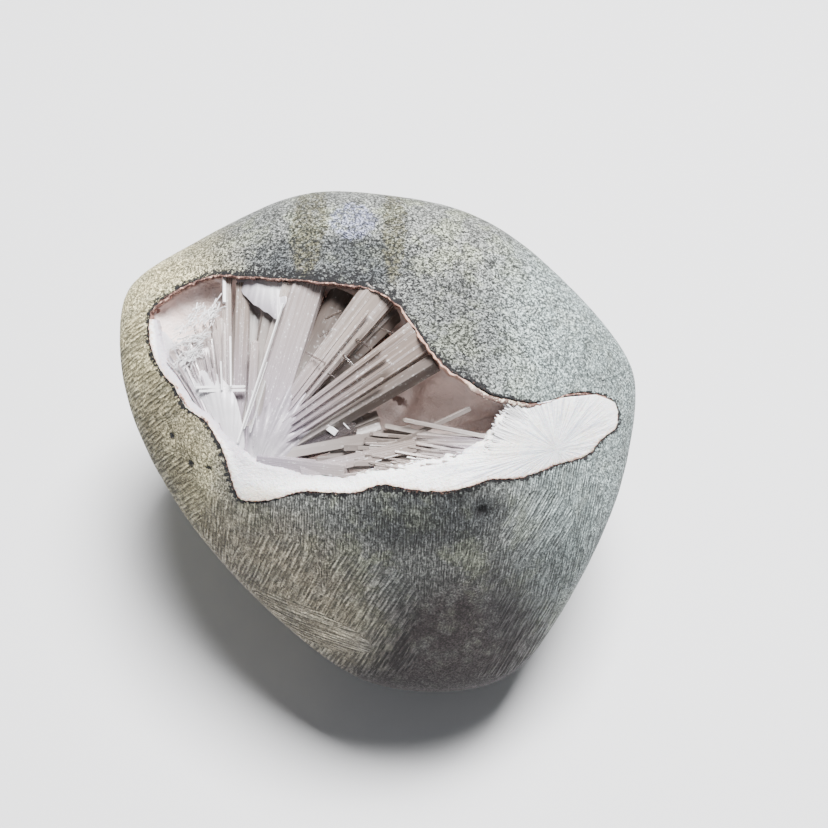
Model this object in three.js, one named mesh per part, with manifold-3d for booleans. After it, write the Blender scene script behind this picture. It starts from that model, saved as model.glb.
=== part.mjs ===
// A scolecite spray in its vug: a ground, rounded basalt nodule with a window onto a hollow, which has
// a thin mineral rind on its wall, fans of blades and needles grown from two roots on its lower side,
// and a massive white seam of the same mineral along its lower edge, ground flush with the stone.
//
// The stone is worked out in the window's own frame, in mm, from the middle of the stone: x to the
// right and y up across the window, z straight out of it. It is then laid back onto its base facet.
import * as THREE from 'three';
import { ParametricGeometry } from 'three/addons/geometries/ParametricGeometry.js';
import { mergeVertices } from 'three/addons/utils/BufferGeometryUtils.js';
import Module from 'manifold-3d';

const wasm = await Module();
wasm.setup();

// How the stone lies: the window's face is laid back from upright, and the origin is on the resting
// surface, under the middle of the stone's outline
const LAID_BACK_DEG = 30;
const BASE_DISTANCE = 24.6;
const MIDDLE_FROM_ORIGIN = [-0.2, 0.0];

// Ground facets of the stone, each [turn across the window from +x, tilt out of it, distance from the
// middle]: round its outline, on its front and on its back
const SIDE_FACETS = [
  [117, 10, 34.0], [83, -6, 31.2], [58, 8, 32.8], [40, -8, 31.0], [-7, -4, 32.5], [-22.5, 8, 32.5],
  [-32, -6, 31.8], [-72, -6, 34.4], [-94, 6, 32.1], [-115, -4, 29.4], [-129.5, 8, 26.4],
  [-141, -6, 24.3], [-153, 6, 27.4], [-176, -6, 31.2],
];
const FRONT_FACETS = [
  [150, 80, 24.5], [-95, 58, 26.5], [85, 52, 26.0], [5, 50, 28.5], [182, 52, 28.0],
  [-140, 48, 26.0], [-45, 46, 29.0], [45, 48, 28.5], [130, 52, 28.0],
];
const BACK_FACETS = [
  [-90, -60, 25.0], [90, -58, 27.0], [0, -55, 27.5], [180, -52, 27.5],
  [45, -30, 31.0], [-45, -34, 31.0], [135, -34, 31.0], [-135, -30, 28.0], [60, -84, 26.0],
];
const FACET_CRISPNESS = 20; // the higher, the sharper the ground facets meet
const STONE_TURNS = 64;
const STONE_RINGS = 30;
const SLAB = 100; // the block that the base facet is cut with

// The window's rim on the ground surface, as points [x, y] that a smooth closed curve goes through,
// from the upper left corner clockwise
const RIM = [
  [-27.7, 16.2], [-25.3, 18.5], [-21.9, 20.0], [-19.1, 20.6], [-16.3, 20.3], [-12.1, 19.9],
  [-6.0, 19.3], [-0.1, 18.3], [2.7, 16.6], [5.0, 13.5], [6.9, 10.7], [8.8, 8.6], [11.1, 7.3],
  [13.8, 5.8], [17.6, 5.0], [20.8, 5.2], [23.6, 6.1], [26.8, 6.1], [29.3, 5.1], [30.0, 3.7],
  [29.6, 1.8], [27.6, 0.4], [25.6, -1.4], [21.6, -2.5], [17.2, -3.8], [13.0, -4.1], [9.5, -5.1],
  [5.0, -5.2], [1.0, -4.6], [-2.2, -5.5], [-8.7, -5.5], [-11.0, -6.3], [-15.6, -6.5],
  [-16.5, -4.8], [-17.9, -0.3], [-19.6, 2.3], [-22.5, 4.3], [-24.2, 7.0], [-26.2, 9.0],
  [-27.7, 12.6],
];
// The hollow's rings run from the rim in to this point, and its floor is deepest at the other one
const RING_MIDDLE = [3.2, 0.3];
const DEEPEST = [-5.5, 7.5];
const DEEPEST_REACH = [15, 13]; // how far its depth spreads across and up
const LEAST_DEPTH = 4.5;
const EXTRA_DEPTH = 15;
const RIM_DROP = 0.8; // the wall starts straight down by this much
const WALL_STEEPNESS = 3;
const RIM_STEPS = 64;
const WALL_STEPS = 6;
const CUTTER_TOP = 45;

// Clearances between the pieces, and the rind's thickness
const GAP = 0.3;
const RIND = 0.8;
const FLUSH = 0.12; // how far the crystals and the rind end under the ground surface

// Where the two fans grow from, [x, y] on the window
const MAIN_ROOT = [-13.4, -1.8];
const LEFT_ROOT = [-17.0, -1.6];

// Every facet as its outward direction over its distance
const facets = [...SIDE_FACETS, ...FRONT_FACETS, ...BACK_FACETS].map(([turn, tilt, distance]) => {
  const a = THREE.MathUtils.degToRad(turn);
  const t = THREE.MathUtils.degToRad(tilt);
  const out = new THREE.Vector3(Math.cos(t) * Math.cos(a), Math.cos(t) * Math.sin(a), Math.sin(t));
  return out.divideScalar(distance);
});

// How full the stone is at a point: 1 on the ground surface, less inside it
function fullness(point) {
  let sum = 0;
  for (const facet of facets) sum += Math.max(facet.dot(point), 0) ** FACET_CRISPNESS;
  return sum ** (1 / FACET_CRISPNESS);
}

// Height of the ground surface over a place on the window
function surfaceAt(x, y) {
  let low = -20;
  let high = 40;
  for (let step = 0; step < 30; step += 1) {
    const middle = (low + high) / 2;
    if (fullness(new THREE.Vector3(x, y, middle)) < 1) low = middle;
    else high = middle;
  }
  return low;
}

function under([x, y, depth]) {
  return new THREE.Vector3(x, y, surfaceAt(x, y) - depth);
}

// A closed geometry as a solid that can be cut and joined
function solidOf(geometry) {
  const bare = geometry.clone();
  bare.deleteAttribute('normal');
  bare.deleteAttribute('uv');
  const merged = mergeVertices(bare, 1e-4);
  const corners = merged.index.array;
  const kept = [];
  for (let i = 0; i < corners.length; i += 3) {
    const [a, b, c] = corners.slice(i, i + 3);
    if (a !== b && b !== c && c !== a) kept.push(a, b, c);
  }
  return new wasm.Manifold(new wasm.Mesh({
    numProp: 3,
    vertProperties: Float32Array.from(merged.attributes.position.array),
    triVerts: Uint32Array.from(kept),
  }));
}

function geometryOf(solid) {
  const { vertProperties, triVerts } = solid.getMesh();
  const geometry = new THREE.BufferGeometry();
  geometry.setAttribute('position', new THREE.BufferAttribute(Float32Array.from(vertProperties), 3));
  geometry.setIndex(new THREE.BufferAttribute(Uint32Array.from(triVerts), 1));
  const flat = geometry.toNonIndexed();
  flat.computeVertexNormals();
  return flat;
}

// The ground stone, or the same shape a little smaller, with its flat base facet
function groundStone(inset) {
  const geometry = new THREE.SphereGeometry(1, STONE_TURNS, STONE_RINGS);
  geometry.rotateX(Math.PI / 2);
  const place = geometry.attributes.position;
  const point = new THREE.Vector3();
  for (let i = 0; i < place.count; i += 1) {
    point.fromBufferAttribute(place, i).normalize();
    const reach = 1 / fullness(point);
    point.multiplyScalar(reach - inset);
    place.setXYZ(i, point.x, point.y, point.z);
  }
  const slab = new THREE.BoxGeometry(SLAB, SLAB, SLAB);
  slab.translate(0, 0, inset - BASE_DISTANCE - SLAB / 2);
  slab.rotateX(THREE.MathUtils.degToRad(-LAID_BACK_DEG));
  return solidOf(geometry).subtract(solidOf(slab));
}

// The rim as evenly spaced points, moved in towards the hollow
function rimPoints(inset) {
  const curve = new THREE.CatmullRomCurve3(
    RIM.map(([x, y]) => new THREE.Vector3(x, y, 0)), true, 'centripetal');
  const points = [];
  for (let i = 0; i < RIM_STEPS; i += 1) {
    const at = i / RIM_STEPS;
    const along = curve.getTangentAt(at);
    const point = curve.getPointAt(at);
    points.push(new THREE.Vector2(point.x + along.y * inset, point.y - along.x * inset));
  }
  return points;
}

// The hollow, open through the window, as a closed cutter. An inset makes it smaller on every side.
function hollow(inset) {
  const rim = rimPoints(inset);
  const [middleX, middleY] = RING_MIDDLE;
  const upperRings = 2;
  const rings = upperRings + WALL_STEPS;
  const place = (around, down, target) => {
    const edge = rim[Math.round(around * RIM_STEPS) % RIM_STEPS];
    const ring = Math.round(down * rings);
    const inward = (ring - upperRings) / WALL_STEPS;
    const spread = ring === 0 ? 0 : Math.cos(Math.max(inward, 0) * Math.PI / 2);
    const x = middleX + (edge.x - middleX) * spread;
    const y = middleY + (edge.y - middleY) * spread;
    if (ring < upperRings) {
      target.set(x, y, CUTTER_TOP);
      return;
    }
    const across = (x - DEEPEST[0]) / DEEPEST_REACH[0];
    const upward = (y - DEEPEST[1]) / DEEPEST_REACH[1];
    const bowl = LEAST_DEPTH + EXTRA_DEPTH * Math.exp(-across * across - upward * upward);
    const profile = (1 - spread ** WALL_STEEPNESS) ** (1 / WALL_STEEPNESS);
    target.set(x, y, surfaceAt(x, y) - RIM_DROP - bowl * profile + inset);
  };
  return solidOf(new ParametricGeometry(place, RIM_STEPS, rings));
}

// A crystal's cross-section, as shares of its width and thickness: two broad faces, bevelled sides
const SECTION = [[-0.5, 0], [-0.38, -0.5], [0.38, -0.5], [0.5, 0], [0.38, 0.5], [-0.38, 0.5]];
const TIP_SHARE = 0.35; // what a bevelled tip leaves of the width

// One crystal: a flattened six-sided prism between two points, each [x, y, depth under the surface].
// Its broad face looks out of the window, turned about its length. A tip is a low blunt pyramid.
function crystal({ from, to, wide, thick, turn = 0, tip = 0 }) {
  const start = under(from);
  const end = under(to);
  const along = new THREE.Vector3().subVectors(end, start);
  const length = along.length();
  along.normalize();
  const shape = new THREE.Shape(SECTION.map(([x, y]) => new THREE.Vector2(x * wide, y * thick)));
  const steps = tip > 0 ? 2 : 1;
  const geometry = new THREE.ExtrudeGeometry(shape, { depth: steps, steps, bevelEnabled: false });
  const place = geometry.attributes.position;
  for (let i = 0; i < place.count; i += 1) {
    const step = Math.round(place.getZ(i));
    const share = step === 2 ? TIP_SHARE : 1;
    const height = [0, length - tip, length][step];
    place.setXYZ(i, place.getX(i) * share, place.getY(i) * share, height);
  }
  geometry.rotateZ(THREE.MathUtils.degToRad(turn));
  const side = new THREE.Vector3().crossVectors(new THREE.Vector3(0, 0, 1), along).normalize();
  const face = new THREE.Vector3().crossVectors(along, side);
  geometry.applyMatrix4(new THREE.Matrix4().makeBasis(side, face, along).setPosition(start));
  return solidOf(geometry);
}

// Several crystals side by side, their ends spread along a line at the root and another at the tip
function sheaf({ count, roots, tips, wide, thick, turns = [0], steps = [0], tip = 0 }) {
  const between = ([from, to], share) => from.map((value, axis) => value + (to[axis] - value) * share);
  const solids = [];
  for (let i = 0; i < count; i += 1) {
    const share = (i + 0.5) / count;
    const from = between(roots, share);
    const to = between(tips, share);
    const step = steps[i % steps.length];
    from[2] += step;
    to[2] += step;
    solids.push(crystal({ from, to, wide, thick, turn: turns[i % turns.length], tip }));
  }
  return solids;
}

// A flush mass with the given outline on the window
function mass(outline) {
  const shape = new THREE.Shape(outline.map(([x, y]) => new THREE.Vector2(x, y)));
  return solidOf(new THREE.ExtrudeGeometry(shape, { depth: CUTTER_TOP, bevelEnabled: false }));
}

// A rounded milky mass at the foot of a fan
function boss([x, y, depth], [acrossSize, upSize, deepSize]) {
  const geometry = new THREE.SphereGeometry(1, 14, 9);
  geometry.scale(acrossSize, upSize, deepSize);
  const middle = under([x, y, depth]);
  geometry.translate(middle.x, middle.y, middle.z);
  return solidOf(geometry);
}

// Milky masses that the fans' feet are sunk in, each with its middle's depth and its half sizes
const ROOT_MASSES = [
  { at: [-13.0, -1.2, 5.2], size: [5.4, 5.6, 4.6] },
  { at: [-17.2, 0.6, 5.6], size: [3.6, 4.8, 4.0] },
  { at: [-20.8, 4.6, 5.2], size: [3.2, 3.4, 3.2] },
];

// Blades of the main fan, from its root to the rim's upper edge: the broad smooth one, the striated
// sheaf beside it, the lavender sheaf over the open side, and the ones behind them
function mainFan() {
  const [x, y] = MAIN_ROOT;
  return [
    crystal({ from: [x - 1.0, y + 0.2, 2.6], to: [-7.7, 20.6, 2.0], wide: 5.2, thick: 3.0, turn: 12 }),
    ...sheaf({
      count: 4,
      roots: [[-12.2, 2.4, 2.8], [-11.4, 0.4, 2.6]],
      tips: [[-1.0, 18.9, 2.2], [4.4, 16.6, 1.9]],
      wide: 2.1, thick: 2.4, turns: [8, -6, 12, -4], steps: [0.3, 0, 0.5, 0.1],
    }),
    ...sheaf({
      count: 4,
      roots: [[-12.0, 0.6, 2.8], [-12.2, -1.8, 2.4]],
      tips: [[4.6, 15.0, 2.4], [9.0, 9.8, 1.7]],
      wide: 2.3, thick: 2.8, turns: [6, 14, -8, 20], steps: [0.4, 0.1, 0, 0.2],
    }),
    ...sheaf({
      count: 5,
      roots: [[-14.2, 0.5, 5.4], [-11.8, -0.6, 5.6]],
      tips: [[-14.6, 19.5, 6.4], [3.6, 15.6, 7.6]],
      wide: 1.7, thick: 1.5, turns: [20, -12, 30], steps: [0, 0.9, 0.3],
    }),
    ...sheaf({
      count: 3,
      roots: [[-12.0, -1.4, 5.6], [-11.4, -2.0, 5.2]],
      tips: [[-2.6, 5.0, 8.6], [-2.0, 0.6, 7.4]],
      wide: 1.5, thick: 1.3, turns: [35, 0, 15], tip: 0.5,
    }),
  ];
}

// The left fan: an upright prism with a bright edge, the flat lavender one beside it, a short blunt
// one, and a spread of fine needles that lie low towards the rim's left end
function leftFan() {
  const [x, y] = LEFT_ROOT;
  return [
    crystal({ from: [x - 0.4, y, 1.3], to: [-18.3, 20.4, 1.4], wide: 1.3, thick: 1.3, turn: 25 }),
    crystal({ from: [x + 1.2, y, 2.4], to: [-16.2, 19.0, 3.2], wide: 2.4, thick: 1.6, turn: -8 }),
    crystal({ from: [x + 2.4, y + 0.6, 2.6], to: [-14.0, 12.2, 3.0], wide: 1.4, thick: 1.2, tip: 0.4 }),
    ...sheaf({
      count: 9,
      roots: [[x - 0.6, y + 0.8, 2.4], [x - 2.0, y + 2.4, 1.8]],
      tips: [[-19.6, 17.6, 3.2], [-25.4, 9.0, 1.6]],
      wide: 1.5, thick: 1.4, turns: [10, -20, 30], steps: [0, 0.5, 0.2, 0.7], tip: 0.5,
    }),
  ];
}

// Needles along the floor, from the main root and from the white tuft on the right
function floorNeedles() {
  return [
    crystal({ from: [-12.6, -1.9, 1.8], to: [-3.2, -2.9, 1.8], wide: 1.9, thick: 1.7, turn: 12 }),
    crystal({ from: [-7.4, -3.3, 1.6], to: [5.0, 0.0, 2.2], wide: 1.8, thick: 1.5, turn: -14 }),
    crystal({ from: [15.5, 0.3, 0.9], to: [3.4, 2.8, 2.0], wide: 0.7, thick: 0.6, tip: 0.3 }),
    crystal({ from: [2.2, 0.0, 2.6], to: [11.2, 4.2, 3.2], wide: 0.8, thick: 0.7, turn: 20 }),
    ...sheaf({
      count: 5,
      roots: [[14.0, 0.4, 1.6], [11.6, -2.0, 1.2]],
      tips: [[-4.0, -0.4, 4.2], [-6.6, -3.4, 2.2]],
      wide: 1.1, thick: 1.0, turns: [15, -25, 5], steps: [0.4, 0, 0.7], tip: 0.4,
    }),
  ];
}

// The ragged white tips where the right-hand tuft meets the hollow
function tuftTips() {
  return sheaf({
    count: 5,
    roots: [[19.0, -0.6, 1.1], [20.0, 1.4, 1.1]],
    tips: [[13.2, 1.0, 1.1], [14.4, 3.4, 1.3]],
    wide: 1.0, thick: 0.9, turns: [0, 25, -15], steps: [0, 0.4], tip: 0.5,
  });
}

// A milky wedge that grew down from the hollow's upper wall, behind the broad blade's edge
const ROOF_WEDGE = [
  [-17.2, 22.0], [-8.0, 22.0], [-8.6, 17.4], [-10.2, 13.2], [-11.9, 15.2], [-13.5, 16.2], [-16.4, 18.2],
];
const WEDGE_TOP = 19.5; // where it meets the rim
const WEDGE_DEPTH = 1.6;
const WEDGE_THICK = 2.6;

function roofWedge() {
  const shape = new THREE.Shape(ROOF_WEDGE.map(([x, y]) => new THREE.Vector2(x, y)));
  const geometry = new THREE.ExtrudeGeometry(shape, { depth: WEDGE_THICK, bevelEnabled: false });
  const place = geometry.attributes.position;
  for (let i = 0; i < place.count; i += 1) {
    const x = place.getX(i);
    const y = place.getY(i);
    const front = surfaceAt(x, Math.min(y, WEDGE_TOP)) - WEDGE_DEPTH;
    place.setZ(i, front - WEDGE_THICK + place.getZ(i));
  }
  return solidOf(geometry);
}

// The white seam: it lines the rim's left and lower sides and fills the hollow's narrow right end.
// Its outer side is drawn past the rim, and the hollow's own wall trims it.
const SEAM = [
  [-28.2, 16.0], [-27.1, 15.6], [-26.7, 12.6], [-25.6, 10.0], [-23.7, 7.8], [-21.9, 5.3],
  [-19.2, 3.6], [-17.5, 1.8], [-16.2, -0.6], [-12.4, -2.3], [-8.3, -3.4], [-3.1, -3.7],
  [0.9, -2.7], [6.5, -1.6], [11.6, -0.7], [14.6, 0.8], [14.4, 2.6], [15.6, 4.0], [17.0, 7.0],
  [24.0, 8.0], [32.0, 7.0], [32.0, 0.0], [26.0, -4.0], [18.0, -6.0], [5.0, -8.0], [-16.0, -9.0],
  [-19.0, -3.0], [-24.0, 2.0], [-30.0, 8.0],
];

// The two needles that lie loose across the left fan, side by side
const LODGED_NEEDLE = { left: [-20.9, 6.5, 0.6], right: [-15.2, 6.6, 3.0], thick: 0.5, apart: 0.42 };

function lodgedNeedle() {
  const { left, right, thick, apart } = LODGED_NEEDLE;
  const needles = [-0.5, 0.5].map((side) => crystal({
    from: [left[0] - side * apart, left[1] + side * apart, left[2]],
    to: [right[0], right[1] + side * apart, right[2]],
    wide: thick, thick, tip: 0.2,
  }));
  return needles[0].add(needles[1]);
}

const join = (solids) => solids.reduce((whole, solid) => whole.add(solid));

const stone = groundStone(0);
const ground = groundStone(FLUSH);
const basalt = stone.subtract(hollow(0));
const rind = hollow(GAP).subtract(hollow(GAP + RIND)).intersect(ground);
const room = hollow(2 * GAP + RIND).intersect(ground);
const spray = join([
  mass(SEAM),
  ...ROOT_MASSES.map(({ at, size }) => boss(at, size)),
  ...mainFan(),
  ...leftFan(),
  roofWedge(),
  ...floorNeedles(),
  ...tuftTips(),
]).intersect(room);

// Trimming at the wall can part a corner from a blade, so the one grown body is kept
const grown = spray.decompose().sort((a, b) => b.volume() - a.volume())[0];

const finish = {
  stone: new THREE.MeshStandardMaterial({ color: '#8f918a', roughness: 0.85, metalness: 0 }),
  rind: new THREE.MeshStandardMaterial({ color: '#c9a998', roughness: 0.7, metalness: 0 }),
  crystal: new THREE.MeshStandardMaterial({ color: '#dcd6da', roughness: 0.25, metalness: 0 }),
  needle: new THREE.MeshStandardMaterial({ color: '#eef0f4', roughness: 0.2, metalness: 0 }),
};

const specimen = new THREE.Group();
const pieces = [
  ['basalt_nodule', basalt, finish.stone],
  ['vug_rind', rind, finish.rind],
  ['scolecite_spray', grown, finish.crystal],
  ['lodged_needle', lodgedNeedle(), finish.needle],
];
for (const [name, solid, material] of pieces) {
  const mesh = new THREE.Mesh(geometryOf(solid), material);
  mesh.name = name;
  specimen.add(mesh);
}
specimen.rotation.x = THREE.MathUtils.degToRad(LAID_BACK_DEG);
specimen.position.set(MIDDLE_FROM_ORIGIN[0], MIDDLE_FROM_ORIGIN[1], BASE_DISTANCE);

export default specimen;
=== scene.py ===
"""Dresses a scolecite spray in its vug, in a ground basalt nodule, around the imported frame.

Shapes are worked out in the window's own frame, in millimetres from the middle of the stone: x to
the right and y up across the window, z straight out of it. ``to_frame`` lays them back onto the
base facet and turns them to metres.
"""

import logging
import math
from dataclasses import dataclass, field
from enum import Enum
from functools import cached_property

import bmesh
import bpy
import numpy as np
from mathutils import Euler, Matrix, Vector


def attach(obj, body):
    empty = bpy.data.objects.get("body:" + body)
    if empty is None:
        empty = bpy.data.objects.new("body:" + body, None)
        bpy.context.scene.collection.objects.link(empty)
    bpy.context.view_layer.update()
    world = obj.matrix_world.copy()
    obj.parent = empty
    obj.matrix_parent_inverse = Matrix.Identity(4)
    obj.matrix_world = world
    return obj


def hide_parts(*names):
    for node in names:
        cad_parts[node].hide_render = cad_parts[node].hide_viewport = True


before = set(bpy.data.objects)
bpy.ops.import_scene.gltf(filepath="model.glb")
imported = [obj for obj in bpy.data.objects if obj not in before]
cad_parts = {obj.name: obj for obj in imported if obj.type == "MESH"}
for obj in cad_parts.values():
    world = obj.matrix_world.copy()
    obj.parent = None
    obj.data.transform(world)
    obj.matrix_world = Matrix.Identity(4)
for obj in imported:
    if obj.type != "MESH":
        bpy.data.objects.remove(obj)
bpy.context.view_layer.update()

log = logging.getLogger("specimen")

MM = 0.001
LAID_BACK = math.radians(30)
BASE_DISTANCE = 24.6
MIDDLE = (-0.2, 0.0, BASE_DISTANCE)
FLUSH = 0.08

Point = tuple[float, float]
Deep = tuple[float, float, float]


def to_frame(points: np.ndarray) -> np.ndarray:
    """Lays points of the window's frame back onto the base facet.

    Args:
        points: Places in the window's frame, in millimetres, one a row.

    Returns:
        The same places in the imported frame, in metres.
    """
    c, s = math.cos(LAID_BACK), math.sin(LAID_BACK)
    x, y, z = points[:, 0], points[:, 1], points[:, 2]
    laid = np.stack([x + MIDDLE[0], y * c - z * s + MIDDLE[1], y * s + z * c + MIDDLE[2]], axis=1)
    return laid * MM


def smooth_noise(points: np.ndarray, size: float, seed: int) -> np.ndarray:
    """Gives smooth noise from about -1 to 1.

    Args:
        points: Places, one a row of three.
        size: Width of one lump, in the points' unit.
        seed: Picks the pattern.

    Returns:
        One value a point.
    """
    table = np.random.default_rng(seed).uniform(-1.0, 1.0, 4096)
    cells = points / size
    base = np.floor(cells).astype(np.int64)
    part = cells - base
    ease = part * part * (3.0 - 2.0 * part)
    total = np.zeros(len(points))
    for corner in range(8):
        step = np.array([(corner >> axis) & 1 for axis in range(3)])
        place = base + step
        index = place[:, 0] * 73856093 ^ place[:, 1] * 19349663 ^ place[:, 2] * 83492791
        weight = np.prod(np.where(step == 1, ease, 1.0 - ease), axis=1)
        total += table[index & 4095] * weight
    return total


def closed_curve(points: tuple[Point, ...], per_span: int = 60) -> np.ndarray:
    """Draws a smooth closed curve through points.

    Args:
        points: The points that the curve goes through.
        per_span: Samples between two points.

    Returns:
        Samples along the curve, one a row.
    """
    p = np.array(points, float)
    before, after, later = np.roll(p, 1, 0), np.roll(p, -1, 0), np.roll(p, -2, 0)
    d0 = np.linalg.norm(p - before, axis=1)[:, None] ** 0.5
    d1 = np.linalg.norm(after - p, axis=1)[:, None] ** 0.5
    d2 = np.linalg.norm(later - after, axis=1)[:, None] ** 0.5
    t1 = ((p - before) / d0 - (after - before) / (d0 + d1) + (after - p) / d1) * d1
    t2 = ((after - p) / d1 - (later - p) / (d1 + d2) + (later - after) / d2) * d1
    u = np.linspace(0.0, 1.0, per_span, endpoint=False)[None, :, None]
    p, after, t1, t2 = (a[:, None, :] for a in (p, after, t1, t2))
    curve = p + t1 * u + (3 * (after - p) - 2 * t1 - t2) * u**2 + (2 * (p - after) + t1 + t2) * u**3
    return curve.reshape(-1, 2)


def resample(curve: np.ndarray, shares: np.ndarray) -> np.ndarray:
    """Reads a closed curve at shares of its length, from 0 to 1."""
    ring = np.vstack([curve, curve[:1]])
    length = np.concatenate([[0.0], np.cumsum(np.linalg.norm(np.diff(ring, axis=0), axis=1))])
    at = (shares % 1.0) * length[-1]
    return np.stack([np.interp(at, length, ring[:, axis]) for axis in range(ring.shape[1])], axis=1)


@dataclass(frozen=True)
class GroundStone:
    """The stone's ground outside: soft-edged facets, each with its turn, tilt and distance."""

    sides: tuple[Deep, ...] = (
        (117, 10, 34.0), (83, -6, 31.2), (58, 8, 32.8), (40, -8, 31.0), (-7, -4, 32.5),
        (-22.5, 8, 32.5), (-32, -6, 31.8), (-72, -6, 34.4), (-94, 6, 32.1), (-115, -4, 29.4),
        (-129.5, 8, 26.4), (-141, -6, 24.3), (-153, 6, 27.4), (-176, -6, 31.2),
    )
    fronts: tuple[Deep, ...] = (
        (150, 80, 24.5), (-95, 58, 26.5), (85, 52, 26.0), (5, 50, 28.5), (182, 52, 28.0),
        (-140, 48, 26.0), (-45, 46, 29.0), (45, 48, 28.5), (130, 52, 28.0),
    )
    backs: tuple[Deep, ...] = (
        (-90, -60, 25.0), (90, -58, 27.0), (0, -55, 27.5), (180, -52, 27.5), (45, -30, 31.0),
        (-45, -34, 31.0), (135, -34, 31.0), (-135, -30, 28.0), (60, -84, 26.0),
    )
    crispness: float = 20.0

    @cached_property
    def planes(self) -> np.ndarray:
        """Gives every facet as its outward direction over its distance."""
        rows = np.array(self.sides + self.fronts + self.backs)
        turn, tilt = np.radians(rows[:, 0]), np.radians(rows[:, 1])
        out = np.stack([np.cos(tilt) * np.cos(turn), np.cos(tilt) * np.sin(turn), np.sin(tilt)], axis=1)
        return out / rows[:, 2:]

    def fullness(self, points: np.ndarray) -> np.ndarray:
        """Tells how full the stone is at each point: 1 on its surface, less inside."""
        reach = np.maximum(points @ self.planes.T, 0.0)
        return (reach**self.crispness).sum(axis=1) ** (1.0 / self.crispness)

    def on_surface(self, directions: np.ndarray) -> np.ndarray:
        """Puts directions from the middle onto the ground surface and the flat base."""
        points = directions / self.fullness(directions)[:, None]
        down = np.array([0.0, -math.sin(LAID_BACK), -math.cos(LAID_BACK)])
        over = np.maximum(points @ down - BASE_DISTANCE, 0.0)
        return points - over[:, None] * down

    def height(self, xy: np.ndarray) -> np.ndarray:
        """Finds the surface's height over places on the window."""
        low, high = np.full(len(xy), -20.0), np.full(len(xy), 40.0)
        for _ in range(20):
            middle = (low + high) / 2.0
            inside = self.fullness(np.column_stack([xy, middle])) < 1.0
            low, high = np.where(inside, middle, low), np.where(inside, high, middle)
        return low

    def under(self, places: np.ndarray) -> np.ndarray:
        """Turns rows of x, y and a depth under the surface into points."""
        places = np.atleast_2d(places)
        return np.column_stack([places[:, :2], self.height(places[:, :2]) - places[:, 2]])

    def ground_flush(self, points: np.ndarray, depth: float = FLUSH) -> np.ndarray:
        """Grinds points that stand proud back to just under the surface."""
        full = self.fullness(points)
        limit = 1.0 - depth / 25.0
        return points * np.minimum(1.0, limit / np.maximum(full, 1e-6))[:, None]


STONE = GroundStone()


@dataclass(frozen=True)
class Window:
    """The hollow and its rim on the ground surface."""

    rim: tuple[Point, ...] = (
        (-27.7, 16.2), (-25.3, 18.5), (-21.9, 20.0), (-19.1, 20.6), (-16.3, 20.3), (-12.1, 19.9),
        (-6.0, 19.3), (-0.1, 18.3), (2.7, 16.6), (5.0, 13.5), (6.9, 10.7), (8.8, 8.6), (11.1, 7.3),
        (13.8, 5.8), (17.6, 5.0), (20.8, 5.2), (23.6, 6.1), (26.8, 6.1), (29.3, 5.1), (30.0, 3.7),
        (29.6, 1.8), (27.6, 0.4), (25.6, -1.4), (21.6, -2.5), (17.2, -3.8), (13.0, -4.1),
        (9.5, -5.1), (5.0, -5.2), (1.0, -4.6), (-2.2, -5.5), (-8.7, -5.5), (-11.0, -6.3),
        (-15.6, -6.5), (-16.5, -4.8), (-17.9, -0.3), (-19.6, 2.3), (-22.5, 4.3), (-24.2, 7.0),
        (-26.2, 9.0), (-27.7, 12.6),
    )
    ring_middle: Point = (3.2, 0.3)
    deepest: Point = (-5.5, 7.5)
    deepest_reach: Point = (15.0, 13.0)
    least_depth: float = 4.5
    extra_depth: float = 15.0
    rim_drop: float = 0.8
    steepness: float = 3.0

    def curve(self) -> np.ndarray:
        """Draws the rim finely."""
        return closed_curve(self.rim)

    def inward(self, curve: np.ndarray, distance: np.ndarray | float) -> np.ndarray:
        """Moves a rim curve in towards the hollow by a distance, one for all or one a point."""
        along = np.roll(curve, -1, 0) - np.roll(curve, 1, 0)
        along /= np.linalg.norm(along, axis=1)[:, None]
        normal = np.stack([along[:, 1], -along[:, 0]], axis=1)
        return curve + normal * np.reshape(distance, (-1, 1))

    def chipped(self, curve: np.ndarray, inset: float | np.ndarray = 0.0) -> np.ndarray:
        """Gives the rim its small chips, then moves it in by an inset."""
        flat = np.column_stack([curve, np.zeros(len(curve))])
        chips = (0.08 * smooth_noise(flat, 1.0, 11) + 0.06 * smooth_noise(flat, 0.5, 12)
                 + 0.07 * smooth_noise(flat, 0.25, 13))
        return self.inward(self.inward(curve, chips), inset)

    def wall(self, edge: np.ndarray, spread: np.ndarray, inset: np.ndarray) -> np.ndarray:
        """Places points on the hollow's wall.

        Args:
            edge: The rim point that each one is in line with.
            spread: 1 at the rim, 0 at the middle of the floor.
            inset: How far the wall is moved in.

        Returns:
            The points, in the window's frame.
        """
        middle = np.array(self.ring_middle)
        xy = middle + (edge - middle) * spread[:, None]
        away = (xy - np.array(self.deepest)) / np.array(self.deepest_reach)
        bowl = self.least_depth + self.extra_depth * np.exp(-(away**2).sum(axis=1))
        profile = np.maximum(1.0 - spread**self.steepness, 0.0) ** (1.0 / self.steepness)
        z = STONE.height(xy) - self.rim_drop - bowl * profile + inset
        return np.column_stack([xy, z])


WINDOW = Window()

# The stone's pits as seen from the front: x, y, radius and depth
PITS = ((12.6, -7.6, 0.8, 0.5), (-22.0, -2.4, 0.5, 0.3), (-24.5, 0.9, 0.45, 0.25), (-19.6, -3.0, 0.4, 0.25),
        (9.6, -7.0, 0.5, 0.25), (6.4, -7.4, 0.45, 0.25), (18.0, 11.0, 0.4, 0.2), (2.0, 24.0, 0.5, 0.25),
        (-14.0, 23.6, 0.45, 0.2))


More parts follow.
